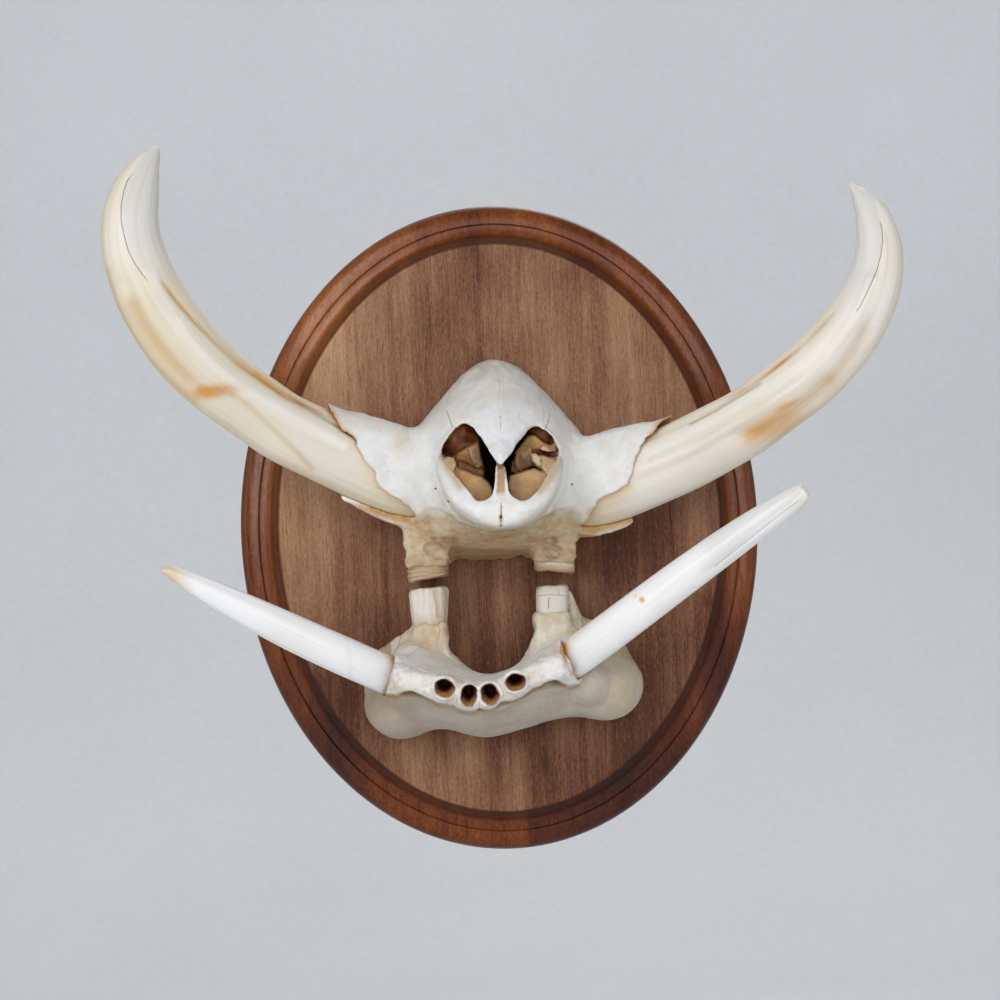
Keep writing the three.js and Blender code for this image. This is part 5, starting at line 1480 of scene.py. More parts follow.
def build_upper_jaw():
    h = 0.62
    vol = Volume((-80, -117, -24), (80, -17.5, 80), h)
    body = vol.of(loft(SNOUT, 96, 90))
    body = blur(body, 2)
    x, y, z = vol.x, vol.y, vol.z
    grid = np.stack(np.broadcast_arrays(vol.x[:, 0, 0][:, None], 0.0, vol.z[0, 0, :][None, :]), -1)

    # The rim of the nasal opening stands a little proud of the bone behind it.
    ring = plate(vol, RING, -96)
    under = plate(vol, [(a, b + 1.0) for a, b in BROW] + [(600, 600), (404, 600)], -96)
    body = body + 2.2 * smoothstep(0.7, -1.3, under).astype("f4") * smoothstep(-50, -66, y).astype("f4")
    forward = smoothstep(-62, -74, y).astype("f4")
    body = body - 0.85 * (1 - smoothstep(-1.6, 1.4, ring)).astype("f4") * forward
    body = body + 0.75 * np.exp(-((ring - 1.0) / 0.9) ** 2).astype("f4") * forward

    tl = {"base": ([0, 2, 3, 4, 5, 6.5], [3.2, 2.9, 2.2, 1.5, 1.15, 1.1]),
          "top": ([0, 2, 3, 3.6, 4.2, 4.7, 6.5], [3.0, 3.2, 3.6, 3.6, 3.0, 1.6, 1.0]),
          "low": ([0, 2, 2.5, 3, 3.6, 4.2, 6.5], [1.5, 1.3, 1.0, 0.75, 0.35, 0.12, 0.0])}
    tr = {"base": ([0, 2, 3, 4, 5, 6.5], [3.2, 2.9, 2.2, 1.5, 1.15, 1.1]),
          "top": ([0, 2, 3, 3.6, 4.2, 4.6, 6.5], [4.0, 4.4, 4.8, 4.6, 3.6, 2.0, 1.0]),
          "low": ([0, 2, 2.5, 3, 3.6, 4.2, 6.5], [1.5, 1.3, 1.0, 0.75, 0.35, 0.12, 0.0])}
    il = {"base": ([0, 3, 5, 6.5], [0.2, 0.15, 0.12, 0.12]),
          "top": ([0, 3.9, 4.5, 4.9, 6.5], [0, 0, 1.0, 1.6, 1.6]),
          "low": ([0, 2.0, 2.5, 3.0, 6.5], [0, 0.0, 0.10, 0.0, 0.0])}
    ir = {"base": ([0, 3, 5, 6.5], [0.2, 0.15, 0.12, 0.12]),
          "top": ([0, 3.6, 4.2, 4.7, 6.5], [0, 0, 1.3, 2.0, 2.0]),
          "low": ([0, 2.0, 2.5, 3.0, 6.5], [0, 0.0, 0.10, 0.0, 0.0])}
    u = np.linspace(0, 6.4, 90)
    outer_l = vol.of(sweep(UPPER_TUSK_LEFT, u, 96, sleeve(False, tl)))
    outer_r = vol.of(sweep(UPPER_TUSK_RIGHT, u, 96, sleeve(True, tr)))
    u = np.linspace(0, 9, 120)
    hole_l = vol.of(sweep(UPPER_TUSK_LEFT, u, 96, sleeve(False, il)), 6)
    hole_r = vol.of(sweep(UPPER_TUSK_RIGHT, u, 96, sleeve(True, ir)), 6)

    # Bony wings that carry the crest from the snout out over the sleeves.
    solid = smin(body, outer_l, 7.0)
    solid = smin(solid, outer_r, 7.0)
    lump = 0.85 * noise(np.stack(np.broadcast_arrays(x, y, z), -1)[:, :, :], (6, 9, 5), 5).astype("f4")
    solid = smin(solid, rounded_box(vol, (-32.0, -33.4, -5.2), (19.0, 29.6, 21.6), 2.8) + lump, 3.0)
    solid = smin(solid, rounded_box(vol, (23.6, -33.4, -5.6), (18.8, 29.6, 21.2), 2.8) + lump, 3.0)
    # A shallow hollow in the front of each block, with a raised curl round it.
    for u_, v_ in ((436, 551), (553, 552)):
        cx, cz = at(u_, v_, -46)
        q = np.sqrt(((x - cx) / 4.6) ** 2 + ((z - cz + 0.25 * (x - cx)) / 2.9) ** 2)
        dish = (1.1 * np.exp(-q ** 2) - 0.9 * np.exp(-((q - 1.35) / 0.33) ** 2)).astype("f4")
        solid = solid + dish * smoothstep(-43, -46, y).astype("f4")

    # Ragged free edges of the sleeves, seen in front and running back underneath.
    wig = 0.45 * noise(grid, (2.3, 1, 2.3), 1) + 0.25 * noise(grid, (1.1, 1, 1.1), 2)
    wig = wig[:, None, :].astype("f4")
    front_l = plate(vol, L_RIM + [(415, 527), (396, 560), (230, 560), (230, 390), (326, 390)], -63) + wig
    back_l = plate(vol, [(327, 398), (328, 409), (335, 440), (340, 470), (342, 503), (337, 516), (300, 560),
                         (230, 560), (230, 390), (326, 390)], -50) + wig
    yc = np.interp(-vol.x[:, 0, 0], [-r[0] for r in UPPER_TUSK_LEFT[:10]], [r[1] for r in UPPER_TUSK_LEFT[:10]])
    w = smoothstep(1.0, -5.5, vol.y[0, :, 0][None, :] - yc[:, None])[:, :, None].astype("f4")
    rim_l = back_l + (front_l - back_l) * w
    front_r = plate(vol, R_RIM + [(583, 531), (600, 560), (770, 560), (770, 395), (671, 395)], -60) + wig
    back_r = plate(vol, [(671, 404), (672, 420), (663, 445), (655, 470), (640, 500), (631, 514), (633, 520), (660, 560),
                         (770, 560), (770, 395), (671, 395)], -50) + wig
    yc = np.interp(vol.x[:, 0, 0], [r[0] for r in UPPER_TUSK_RIGHT[:10]], [r[1] for r in UPPER_TUSK_RIGHT[:10]])
    w = smoothstep(1.0, -5.5, vol.y[0, :, 0][None, :] - yc[:, None])[:, :, None].astype("f4")
    rim_r = back_r + (front_r - back_r) * w
    solid = smax(solid, -rim_l, 0.7)
    solid = smax(solid, -rim_r, 0.7)
    hull = solid.copy()

    # The nasal cavity, and the openings either side of the septum.
    cave = np.maximum(body + 3.0, -(y + 103.0))
    cave = np.maximum(cave, y + 37.0)
    cave = np.maximum(cave, 5.0 - z)
    solid = smax(solid, -cave, 1.0)
    ripple = (0.22 * noise(grid, (2.0, 1, 2.0), 31) + 0.12 * noise(grid, (0.9, 1, 0.9), 32))[:, None, :].astype("f4")
    left = signed(x[:, 0, :], z[0] + 0 * x[:, 0, :], smoothed(NOSTRIL_LEFT))[:, None, :].astype("f4") + ripple
    right = signed(x[:, 0, :], z[0] + 0 * x[:, 0, :], smoothed(NOSTRIL_RIGHT))[:, None, :].astype("f4") + ripple
    for hole in (left, right):
        hole = smax(hole - 0.3, y + 60.0, 2.0)
        solid = smax(solid, -hole, 0.9)
    # Septum, and the thin curled bones that show inside.
    wall = np.maximum(np.abs(x - 1.7) - 0.9 - 0.3 * np.sin(z * 0.21), np.maximum(-(y + 100), z - 60))
    solid = np.minimum(solid, np.maximum(wall, body + 1.0))
    depth = relief(vol, -50.0)[:, None, :]
    curls = np.maximum((depth - y).astype("f4") * 0.8, cave - 1.2)
    solid = np.minimum(solid, curls)
    xz = lambda u_, v_, y_: (at(u_, v_, y_)[0], y_, at(u_, v_, y_)[1])

    # The front pillar: a shallow trough below the overhanging tip of the nasals.
    trough = vol.rod((1.75, -106.7, 28.5), (1.75, -114.0, 15.5), 2.0, 3.1)
    solid = smax(solid, -trough, 0.4)
    vee = [at(493.5, 460.5, -110), at(497.0, 464.2, -110), at(500.4, 466.6, -110), at(504.0, 464.2, -110), at(507.5, 460.5, -110)]
    notch, _ = to_outline(x[:, 0, :], z[0] + 0 * x[:, 0, :], vee, closed=False)
    notch = np.maximum(notch[:, None, :].astype("f4") - 0.62, -(body + 2.4))
    solid = smax(solid, -notch, 0.3)
    # The slit between the premaxillae and the small gap at its lower end.
    slit = np.minimum(vol.rod(xz(500.9, 516.0, -114.3), xz(500.8, 523.5, -111.6), 0.55, 1.15), vol.rod(xz(501.4, 506.0, -113.4), xz(501.2, 516.5, -113.2), 0.5, 0.75))
    solid = smax(solid, -slit, 0.4)
    # Small foramina in the maxillae, and one in each cheek.
    for u_, v_ in ((435, 488.5), (573, 484), (448.5, 501.5)):
        p = xz(u_, v_, -85)
        pin = np.maximum(np.sqrt((x - p[0]) ** 2 + (z - p[2]) ** 2) - 0.52, -(body + 4.0))
        solid = np.maximum(solid, -pin)

    # Ragged rear edge of the palate between the tooth blocks.
    ragged = plate(vol, [(449, 562), (456, 562), (461, 560), (466, 558.5), (470, 561), (480, 561), (485, 562.5), (495, 561),
                         (499, 557.5), (505, 559.5), (514, 559), (518, 556), (522, 554.5), (525, 557.5), (528, 559),
                         (532, 557), (532, 600), (449, 600)], -24)
    solid = smax(solid, -ragged, 0.5)
    # Space for the tusks and the screws, and the sawn back face.
    solid = np.maximum(solid, -hole_l)
    solid = np.maximum(solid, -hole_r)
    for name in ("upper_jaw_screw_top", "upper_jaw_screw_bottom"):
        sx, sz = JAW_SCREWS[name]
        solid = np.maximum(solid, -np.maximum(np.sqrt((x - sx) ** 2 + (z - sz) ** 2) - 2.0, -(y + 30.2)))
    # Sockets of the cheek teeth.
    for c, s in (((-32.0, -34.0, -14.2), (17.9, 25.4, 17.2)), ((23.6, -34.0, -13.6), (17.9, 25.4, 15.8))):
        solid = np.maximum(solid, -np.maximum(rounded_box(vol, c, s, 3.0), z - c[2] - 3.6))
    # Sawn face.
    solid = np.maximum(solid, y - CUT_Y)

    ob = vol.surface("snout_bone", solid, 148000)
    p = points_of(ob)
    n = field_normals(vol, solid, p)
    bodyd = vol.sample(body, p)
    sleeved = np.minimum(vol.sample(outer_l, p), vol.sample(outer_r, p))
    inside = smoothstep(-1.3, -2.4, vol.sample(hull, p)) * smoothstep(-40, -44, p[:, 1])
    inside = inside * smoothstep(2.5, 5.0, p[:, 2]) * (np.abs(p[:, 0] - 1) < 34)
    hole = np.minimum(signed(p[:, 0], p[:, 2], NOSTRIL_LEFT), signed(p[:, 0], p[:, 2], NOSTRIL_RIGHT))
    inside = np.maximum(inside, smoothstep(-0.1, -0.7, hole) * smoothstep(-20, -30, p[:, 1]))
    u_, v_ = seen(p)
    rough = 0.16 * fractal(p, (5, 5, 5), 3, 0) + 0.10 * fractal(p, (1.9, 1.9, 1.9), 2, 2)
    fibres = 0.16 * noise(p, (1.3, 7.0, 3.8), 3)
    low = smoothstep(14, 2, p[:, 2]) * (1 - smoothstep(-100, -108, p[:, 1]))
    rugged = 0.34 * fractal(p, (3.0, 7.0, 1.8), 2, 1)
    calm = 1 - 0.6 * smoothstep(-92, -104, p[:, 1])
    near_cut = smoothstep(CUT_Y, CUT_Y - 1.5, p[:, 1])
    thin = smoothstep(0.4, 2.5, np.abs(np.minimum(np.abs(vol.sample(hole_l, p)), np.abs(vol.sample(hole_r, p)))))
    blocky = smoothstep(1.2, -0.8, np.minimum(rounded_box_at(p, (-32.0, -32.6, -5.2), (20.4, 28, 22.6)), rounded_box_at(p, (23.6, -32.6, -6.0), (20.2, 28, 22.4))))
    lift = (rough + fibres) * calm * (1 - 0.5 * inside) + rugged * low * (1 - inside) + 0.36 * blocky * fractal(p, (3.0, 3.0, 1.5), 3, 21)
    lift = lift + 0.35 * smoothstep(52, 66, p[:, 2]) * fractal(p, (3.6, 6.0, 2.6), 3, 22)
    # Sutures and cracks: hairlines, by the signed distance to the nearest.
    seams = [[(447, 411), (449, 417), (452.6, 427)], [(549.6, 414), (549, 420), (546, 428)],
             [(501.2, 504), (501, 510), (501.4, 516), (500.8, 528)], [(500, 416), (500.4, 419)], [(500.3, 424), (500.6, 427)],
             [(498, 376), (500, 388), (499, 398)], [(417, 517), (409, 509)], [(461, 381), (452, 391), (446, 402)],
             [(540, 391), (548, 399), (556, 411)]]
    force = [0.75, 0.7, 1.0, 0.7, 0.7, 0.25, 0.6, 0.3, 0.3]
    facing = smoothstep(0.0, 0.35, -n[:, 1])
    seam, seamed = hairlines(u_, v_, seams, force)
    seamed = seamed * facing * (1 - inside)
    p2 = p + n * (lift * near_cut * thin)[:, None]
    move_to(ob, p2)

    hollow = hollows(vol, solid, p, n)
    back = smoothstep(CUT_Y - 0.6, CUT_Y - 0.2, p[:, 1])
    cloud = fractal(p, (9, 9, 9), 3, 4)
    fleck = fractal(p, (2.2, 5.0, 1.6), 2, 6)
    # Below the brow the underside is painted the yellow-brown of the palate, in fibrous streaks: partly the bone's own
    # colour, partly painted shade of the underside.
    edge = -side_of(u_, v_, BROW)
    between = smoothstep(396, 416, u_) * smoothstep(608, 584, u_)
    fibre = fractal(p, (7.0, 9.0, 1.1), 2, 8)
    edge = edge + 1.2 * fibre
    crisp = smoothstep(440, 454, u_) * smoothstep(562, 548, u_)
    palate = ((0.55 + 0.25 * crisp) * smoothstep(-3.0 + 3.2 * crisp, 8.0 - 6.6 * crisp, edge) + (0.45 - 0.25 * crisp) * smoothstep(2, 14, edge)) * between * (1 - inside) * (1 - back)
    middle = smoothstep(446, 458, u_) * smoothstep(538, 526, u_) * smoothstep(524, 534, v_)
    block = np.maximum(smoothstep(0.8, -0.8, rounded_box_at(p, (-31.9, -32.6, -5.2), (20.4, 28, 22.6))),
                       smoothstep(0.8, -0.8, rounded_box_at(p, (23.7, -32.6, -6.0), (20.2, 28, 22.4))))
    block = block * smoothstep(526, 536, v_)
    socket = smoothstep(0.9, 0.25, np.abs(vol.sample(np.minimum(hole_l, hole_r), p)))
    lip = smoothstep(3.6, 1.6, np.minimum(vol.sample(hole_l, p), vol.sample(hole_r, p))) * smoothstep(16, 10, p[:, 2])
    lip = lip * np.maximum(smoothstep(414, 405, u_) * smoothstep(489, 495, v_), smoothstep(584, 592, u_) * smoothstep(506, 514, v_))
    tan = 0.86 * lip * (1 + 0.3 * cloud) + 0.42 * block * (0.85 + 0.22 * fleck) + palate * (0.54 + 0.16 * middle + 0.20 * fibre + 0.12 * fleck) + 0.30 * low * smoothstep(0.1, 0.5, cloud) * (1 - inside)
    tan = tan + 0.30 * hollow * (1 - inside) * smoothstep(0.25, 0.6, hollow)
    shade = facing * (line_of(u_, v_, [(428, 541), (440, 539), (455, 540)], 4.5) + line_of(u_, v_, [(534, 541), (545, 540), (556, 541)], 4.0))
    shade = shade + 0.8 * facing * (line_of(u_, v_, [(441, 546), (447, 551), (444, 557), (435, 559)], 2.2) + line_of(u_, v_, [(428, 553), (431, 548), (438, 546)], 1.6)
                              + line_of(u_, v_, [(545, 549), (553, 546), (561, 550)], 2.0) + line_of(u_, v_, [(541, 556), (549, 559), (557, 557)], 2.0))
    shade = shade * (0.7 + 0.9 * np.clip(fleck, -0.5, 0.6))
    swirl = facing * (spot_of(u_, v_, (437, 551), 9, 6) + spot_of(u_, v_, (553, 551), 9, 6)) * (0.5 + 0.9 * fleck)
    umber = palate * (0.04 * middle + 0.06 * smoothstep(0.1, 0.5, fibre)) + 0.34 * shade + 0.10 * swirl
    tan = tan + 0.25 * swirl
    deep_shade = 0 * umber
    grey = 0.18 * smoothstep(0.1, 0.8, -cloud) + 0.30 * smoothstep(38, 60, p[:, 2]) * smoothstep(-80, -60, p[:, 1])
    grey = grey + 0.40 * palate * middle + 0.30 * palate * (1 - middle) + 0.20 * block
    grey = grey + 0.30 * smoothstep(60, 72, p[:, 2])
    cream = 0.14 + 0.5 * low + 0.26 * smoothstep(0.0, 0.7, cloud) + 0.6 * back + 0.7 * block + 0.6 * palate
    cream = cream + facing * 0.30 * line_of(u_, v_, [(405, 440), (412, 446)], 10) + 0.6 * lip
    cream = cream - 0.5 * facing * line_of(u_, v_, [(500, 425), (500, 455)], 26) * smoothstep(400, 420, v_)
    ochre = 0.55 * socket * (1 - back) + 0.06 * block + 0.20 * lip
    ochre = ochre + facing * (line_of(u_, v_, L_RIM, 1.6) + line_of(u_, v_, R_RIM, 1.6)) * 0.26
    ochre = ochre + facing * (line_of(u_, v_, L_RIM[:6], 3.0) + line_of(u_, v_, R_RIM[:5], 3.2)) * 0.6
    ochre = ochre + facing * (spot_of(u_, v_, (414, 524), 5, 3) + spot_of(u_, v_, (584, 526), 7, 3)) * 0.5
    # The walls that slope into the nostrils, and the trough of the pillar between them.
    slope = (line_of(u_, v_, [(441, 455), (446, 465), (454, 477), (460, 487)], 4.4)
             + line_of(u_, v_, [(560, 460), (554, 471), (547, 481), (540, 490)], 4.8)) * (1 - inside) * (p[:, 1] < -80)
    tan = tan + 0.55 * slope
    cream = cream + 0.5 * slope
    # Painted shade: a faint darker line in the crease just outside the rim of the nasal opening.
    outside = line_of(u_, v_, RING[:25], 2.6) * (p[:, 1] < -80) * (1 - inside)
    cream = cream + 0.24 * outside
    grey = grey + 0.08 * outside
    trough = smoothstep(5.4, 3.4, np.abs(u_ - 500.9) - 0.8 * fleck) * smoothstep(465.5, 468, v_) * smoothstep(498, 489, v_) * (p[:, 1] < -99) * (1 - inside)
    tan = tan + 0.92 * trough
    # Painted shadow under the overhanging tip of the nasals: umber at the top of the trough, along the tip's edge and
    # in a spot below its point.
    umber = umber + trough * (0.13 + 0.18 * smoothstep(488, 470, v_))
    umber = umber + 0.45 * line_of(u_, v_, [(494, 461.5), (497.0, 464.6), (500.4, 467.0), (504.0, 464.6), (507, 461.5)], 1.3) * (p[:, 1] < -99) * (bodyd < -0.9)
    umber = umber + 0.75 * spot_of(u_, v_, (500.3, 466.8), 3.0, 2.0) * (p[:, 1] < -99) * smoothstep(462.5, 464.5, v_)
    gap = facing * (p[:, 1] < -99)
    # Painted shade: a dark line down the slit between the premaxillae; the small gap at its lower end in umber and tan.
    umber = umber + gap * (0.55 * line_of(u_, v_, [(501.4, 506.5), (501.2, 512), (501.2, 516.5)], 0.9) + 0.22 * spot_of(u_, v_, (500.9, 519.2), 1.9, 2.8))
    tan = tan + gap * 0.9 * spot_of(u_, v_, (500.9, 519.8), 2.2, 3.8)
    # Inside: the stains of whichever surface shows there, with umber darkening near its edges; behind them all painted
    # shade, umber turning to black deeper in.
    marks = dict(tan=tan, umber=umber, deep_shade=deep_shade, ochre=ochre, cream=cream, grey=grey)
    which = np.nonzero(inside > 0.01)[0]
    pu, pv, mix = u_[which], v_[which], inside[which]
    far = smoothstep(-70, -60, p[which, 1])
    deep = dict(tan=1.0, umber=0.55 + 0.45 * far, deep_shade=0.75 * far, ochre=0.1, cream=0.0, grey=0.0)
    found = {k: np.full(len(which), 1.0) * deep[k] for k in deep}
    for outline, y0, gx, gz, dome, coat in INSIDE:
        P = np.array(outline)
        w = smoothstep(1.0, -0.4, signed(pu, pv, P)) * smoothstep(9, 6, np.abs(p[which, 1] - y0) - 6 * abs(gx) - 4 * abs(gz) - dome)
        rim = smoothstep(-3.5, -0.5, signed(pu, pv, P))
        for k in deep:
            base = coat.get(k, 0.0)
            val = base + (0.30 * rim if k == "umber" and base > 0.3 else 0)
            if k == "ochre" or (k == "umber" and base > 0):
                val = val + 0.20 * fleck[which]
            found[k] = found[k] * (1 - w) + val * w
    for k in deep:
        marks[k] = np.array(marks[k])
        marks[k][which] = marks[k][which] * (1 - mix) + found[k] * mix
    for key, val in marks.items():
        values(ob, key, np.clip(val, 0, 1))
    values(ob, "seam", seam)
    values(ob, "seamed", np.clip(seamed, 0, 1))
    put(ob, "upper_jaw", BONE)
    return ob


# ---------------------------------------------------------------- lower jaw
BAND_EDGE = [(384, 694), (397, 696), (403, 692), (410, 691), (420, 694), (428, 698), (437, 703), (445, 704.5), (453, 706),
             (462, 711), (470, 712), (476, 710.5), (479, 708), (484, 710), (490, 709.5), (496, 707), (500, 703),
             (505, 701), (513, 700.5), (520, 698), (527, 693), (533, 689), (540, 686), (544, 682.5), (550, 680),
             (556, 681), (562, 684), (570, 687), (578, 685)]


def build_lower_jaw():
    h = 0.62
    vol = Volume((-68, -99, -97), (66, -17.5, -26), h)
    x, y, z = vol.x, vol.y, vol.z
    body = vol.of(loft(MANDIBLE, 96, 70))
    body = blur(body, 5)
    grid = np.stack(np.broadcast_arrays(vol.x[:, 0, 0][:, None], 0.0, vol.z[0, 0, :][None, :]), -1)
    # The sawn-through jaw bodies bulge at the lower corners.
    body = smin(body, vol.blob((-47.5, -36, -77.0), (14.2, 26, 13.2), -12), 5.0)
    body = smin(body, vol.blob((45.5, -36, -71.5), (15.0, 26, 14.0), 16), 5.0)
    # Waisted columns below the cheek teeth, spreading into the body.
    knobs = 0.9 * noise(np.stack(np.broadcast_arrays(x, y, z), -1), (4.0, 9, 3.5), 51).astype("f4")
    cl = smin(rounded_box(vol, (-32.4, -33.0, -50.2), (14.8, 26.8, 21.6), 3.6) + knobs, vol.blob((-30.5, -38, -68.5), (13.5, 18, 12.5), 10), 9.0)
    cr = smin(rounded_box(vol, (21.8, -33.0, -48.6), (16.6, 26.8, 23.2), 3.2) + knobs, vol.blob((23.5, -38, -62.5), (14.5, 18, 11.5), -12), 8.0)
    spur = smin(vol.rod((29.2, -33.5, -29.8), (31.8, -34, -47.5), 1.1, 5.8), vol.rod((38, -34, -45.5), (44, -36, -56), 3.6, 8.0), 4.0)
    flange = smin(vol.rod((-42.5, -37, -46.5), (-51.0, -40, -57.5), 2.6, 7.0), vol.rod((-52.5, -40, -54.5), (-55.0, -41, -66), 3.0, 7.0), 4.0)
    solid = smin(body, cl, 5.0)
    solid = smin(solid, cr, 5.0)
    solid = smin(solid, spur, 4.0)
    solid = smin(solid, flange, 4.0)
    # Walls of bone round the roots of the lower tusks.
    u = np.linspace(1.0, 4.4, 60)
    tube_l = vol.of(sweep(LOWER_TUSK_LEFT, u, 72, lambda a, r: np.interp(r, [1, 3, 4, 4.4], [3.0, 2.6, 1.9, 1.4])))
    tube_r = vol.of(sweep(LOWER_TUSK_RIGHT, u, 72, lambda a, r: np.interp(r, [1, 3, 4, 4.4], [3.0, 2.6, 2.0, 1.4])))
    solid = smin(solid, tube_l, 3.5)
    solid = smin(solid, tube_r, 3.5)
    # Raised rims round the empty incisor sockets.
    for sx, sz, rx, rz in INCISOR_SOCKETS:
        lip = vol.rod((sx, -70, sz - 1.0), (sx, -93.6, sz), (rx + rz) / 2 + 0.6, (rx + rz) / 2 + 1.55)
        lip = np.maximum(lip, -(y + 95.6))
        solid = smin(solid, lip, 1.6)
    # Below the band of the sockets the bone falls back.
    edge = [at(a, b, -92) for a, b in BAND_EDGE]
    ex = np.array([e[0] for e in edge])
    ez = np.array([e[1] for e in edge])
    order = np.argsort(ex)
    zb = np.interp(vol.x[:, 0, 0], ex[order], ez[order])[:, None, None]
    below = zb - z
    step = np.interp(vol.x[:, 0, 0], [-56, -48, -42, -30, -8, 10, 22, 30, 40], [-106, -84, -80, -84, -86.5, -83, -77, -78, -106])[:, None, None]
    scallop = (0.7 * noise(grid, (4.0, 1, 4.0), 41) + 0.3 * noise(grid, (1.6, 1, 1.6), 42))[:, None, :].astype("f4")
    recess = smax((-below).astype("f4") + scallop, ((y - step) + 0.42 * below - 1.6).astype("f4"), 0.8)
    solid = smax(solid, -recess, 0.6)
    hull = solid.copy()
    # Tusk roots' sockets; outside the junction the bone ends in a ragged collar.
    u = np.linspace(0, 8, 110)
    hole_l = vol.of(sweep(LOWER_TUSK_LEFT, u, 72, lambda a, r: np.interp(r, [0, 3.2, 4.1, 8], [0.2, 0.15, 0.15, 0.15])), 6)
    hole_r = vol.of(sweep(LOWER_TUSK_RIGHT, u, 72, lambda a, r: np.interp(r, [0, 3.2, 4.1, 8], [0.2, 0.15, 0.15, 0.15])), 6)
    wig = (0.35 * noise(grid, (2.3, 1, 2.3), 1) + 0.2 * noise(grid, (1.0, 1, 1.0), 2))[:, None, :].astype("f4")
    c, d, ac, dp, hf = curve_frames(LOWER_TUSK_LEFT, np.array([4.0]))
    p0 = at(392.5, 671, -86)
    gate_l = ((x - p0[0]) * -0.94 + (y + 86) * -0.12 + (z - p0[1]) * 0.30).astype("f4") + wig
    solid = smax(solid, -np.maximum(-gate_l, np.maximum(tube_l - 1.0, y + 60.0)), 0.6)
    p0 = at(566, 660, -86)
    gate_r = ((x - p0[0]) * 0.93 + (y + 86) * -0.12 + (z - p0[1]) * 0.36).astype("f4") + wig
    solid = smax(solid, -np.maximum(-gate_r, np.maximum(tube_r - 1.0, y + 60.0)), 0.6)
    solid = smin(solid, vol.blob((34.5, -58, -68.5), (10.5, 15.5, 9.5), 10), 3.0)
    solid = np.maximum(solid, -hole_l)
    solid = np.maximum(solid, -hole_r)
    # The sockets themselves, narrowing and leaning down into the bone.
    pits = np.full(vol.shape, 9.0, "f4")
    for sx, sz, rx, rz in INCISOR_SOCKETS:
        t = np.clip((y + 95.5) / 14.5, 0, 1)
        shrink = 1 - 0.58 * t
        cx, cz = sx, sz - 0.2 + rz * (1 - shrink) * 0.80
        tall = 1.10 if rz > rx else 1.0
        q = np.sqrt(((x - cx) / (rx * shrink)) ** 2 + ((z - cz) / (rz * tall * shrink)) ** 2)
        q = q * (1 + 0.06 * np.sin(2.0 * np.arctan2(z - cz, x - cx) + sx) + 0.03 * np.sin(5 * np.arctan2(z - cz, x - cx) + 2 * sx))
        pit = np.maximum((q - 1) * min(rx, rz) * shrink, y + 81.5)
        pits = np.minimum(pits, pit)
    solid = smax(solid, -pits, 0.6)
    for name in ("lower_jaw_screw_left", "lower_jaw_screw_right"):
        sx, sz = JAW_SCREWS[name]
        solid = np.maximum(solid, -np.maximum(np.sqrt((x - sx) ** 2 + (z - sz) ** 2) - 2.0, -(y + 30.2)))
    for c, s in (((-32.5, -34.0, -34.8), (13.4, 21.6, 19.6)), ((22.0, -34.0, -35.0), (14.3, 20.8, 16.4))):
        solid = np.maximum(solid, -rounded_box(vol, c, s, 3.0))
    solid = np.maximum(solid, y - CUT_Y)

    ob = vol.surface("jaw_bone", solid, 148000)
    p = points_of(ob)
    n = field_normals(vol, solid, p)
    u_, v_ = seen(p)
    near_cut = smoothstep(CUT_Y, CUT_Y - 1.5, p[:, 1])
    lift = 0.16 * fractal(p, (6, 6, 6), 3, 0) + 0.09 * fractal(p, (1.8, 1.8, 1.8), 2, 2)
    column = smoothstep(-64, -56, p[:, 2]) * smoothstep(-56, -48, p[:, 1])
    lift = lift + 0.30 * column * noise(p, (2.0, 2.0, 6.0), 3)
    band = smoothstep(-1.0, 1.5, p[:, 2] - np.interp(p[:, 0], ex[order], ez[order])) * smoothstep(-78, -86, p[:, 1])
    lift = lift + band * (0.22 * fractal(p, (1.3, 1.3, 1.0), 2, 9) + 0.25 * fractal(p, (4, 4, 2.5), 2, 12))
    cracks = [[(401, 636), (398, 646), (392, 656)], [(421, 647), (414, 652), (407, 657)], [(437, 621), (440, 630), (438, 640)],
              [(563, 641), (560, 648), (561, 655)], [(456, 704), (458, 697)], [(479, 710), (480, 700)], [(541, 683), (544, 674)]]
    facing = smoothstep(0.0, 0.3, -n[:, 1])
    seam, seamed = hairlines(u_, v_, cracks, [0.5, 0.4, 0.4, 0.5, 0.4, 0.4, 0.3])
    seamed = seamed * facing
    move_to(ob, p + n * (lift * near_cut)[:, None])
    hollow = hollows(vol, solid, p, n)
    cloud = fractal(p, (9, 9, 9), 3, 4)
    back = smoothstep(CUT_Y - 0.6, CUT_Y - 0.2, p[:, 1])
    zb_p = np.interp(p[:, 0], ex[order], ez[order])
    zb_p = zb_p + 60 * smoothstep(-48, -52, p[:, 0]) * smoothstep(-80, -74, p[:, 1]) + 60 * smoothstep(32, 37, p[:, 0]) * smoothstep(-80, -74, p[:, 1])
    lower = smoothstep(0.8, -1.2, p[:, 2] - zb_p) * (1 - back)
    in_pit = smoothstep(0.7, 0.0, vol.sample(pits, p))
    depth_in = smoothstep(-94.5, -86, p[:, 1])
    floor = smoothstep(0.0, 0.8, n[:, 2])
    fleck = fractal(p, (3.0, 3.0, 6.0), 2, 6)
    grey = 0.86 * lower * (1 - 0.4 * smoothstep(28, 50, p[:, 0])) + 0.12 * cloud
    cream = 0.16 + 0.45 * lower + 0.45 * column + 0.35 * smoothstep(0, 0.8, cloud) + 0.6 * back
    tan = 0.40 * hollow * smoothstep(0.3, 0.7, hollow) * (1 - in_pit)
    tan = tan + band * smoothstep(0.05, 0.5, fractal(p, (2.4, 2.4, 1.6), 2, 14)) * 0.30
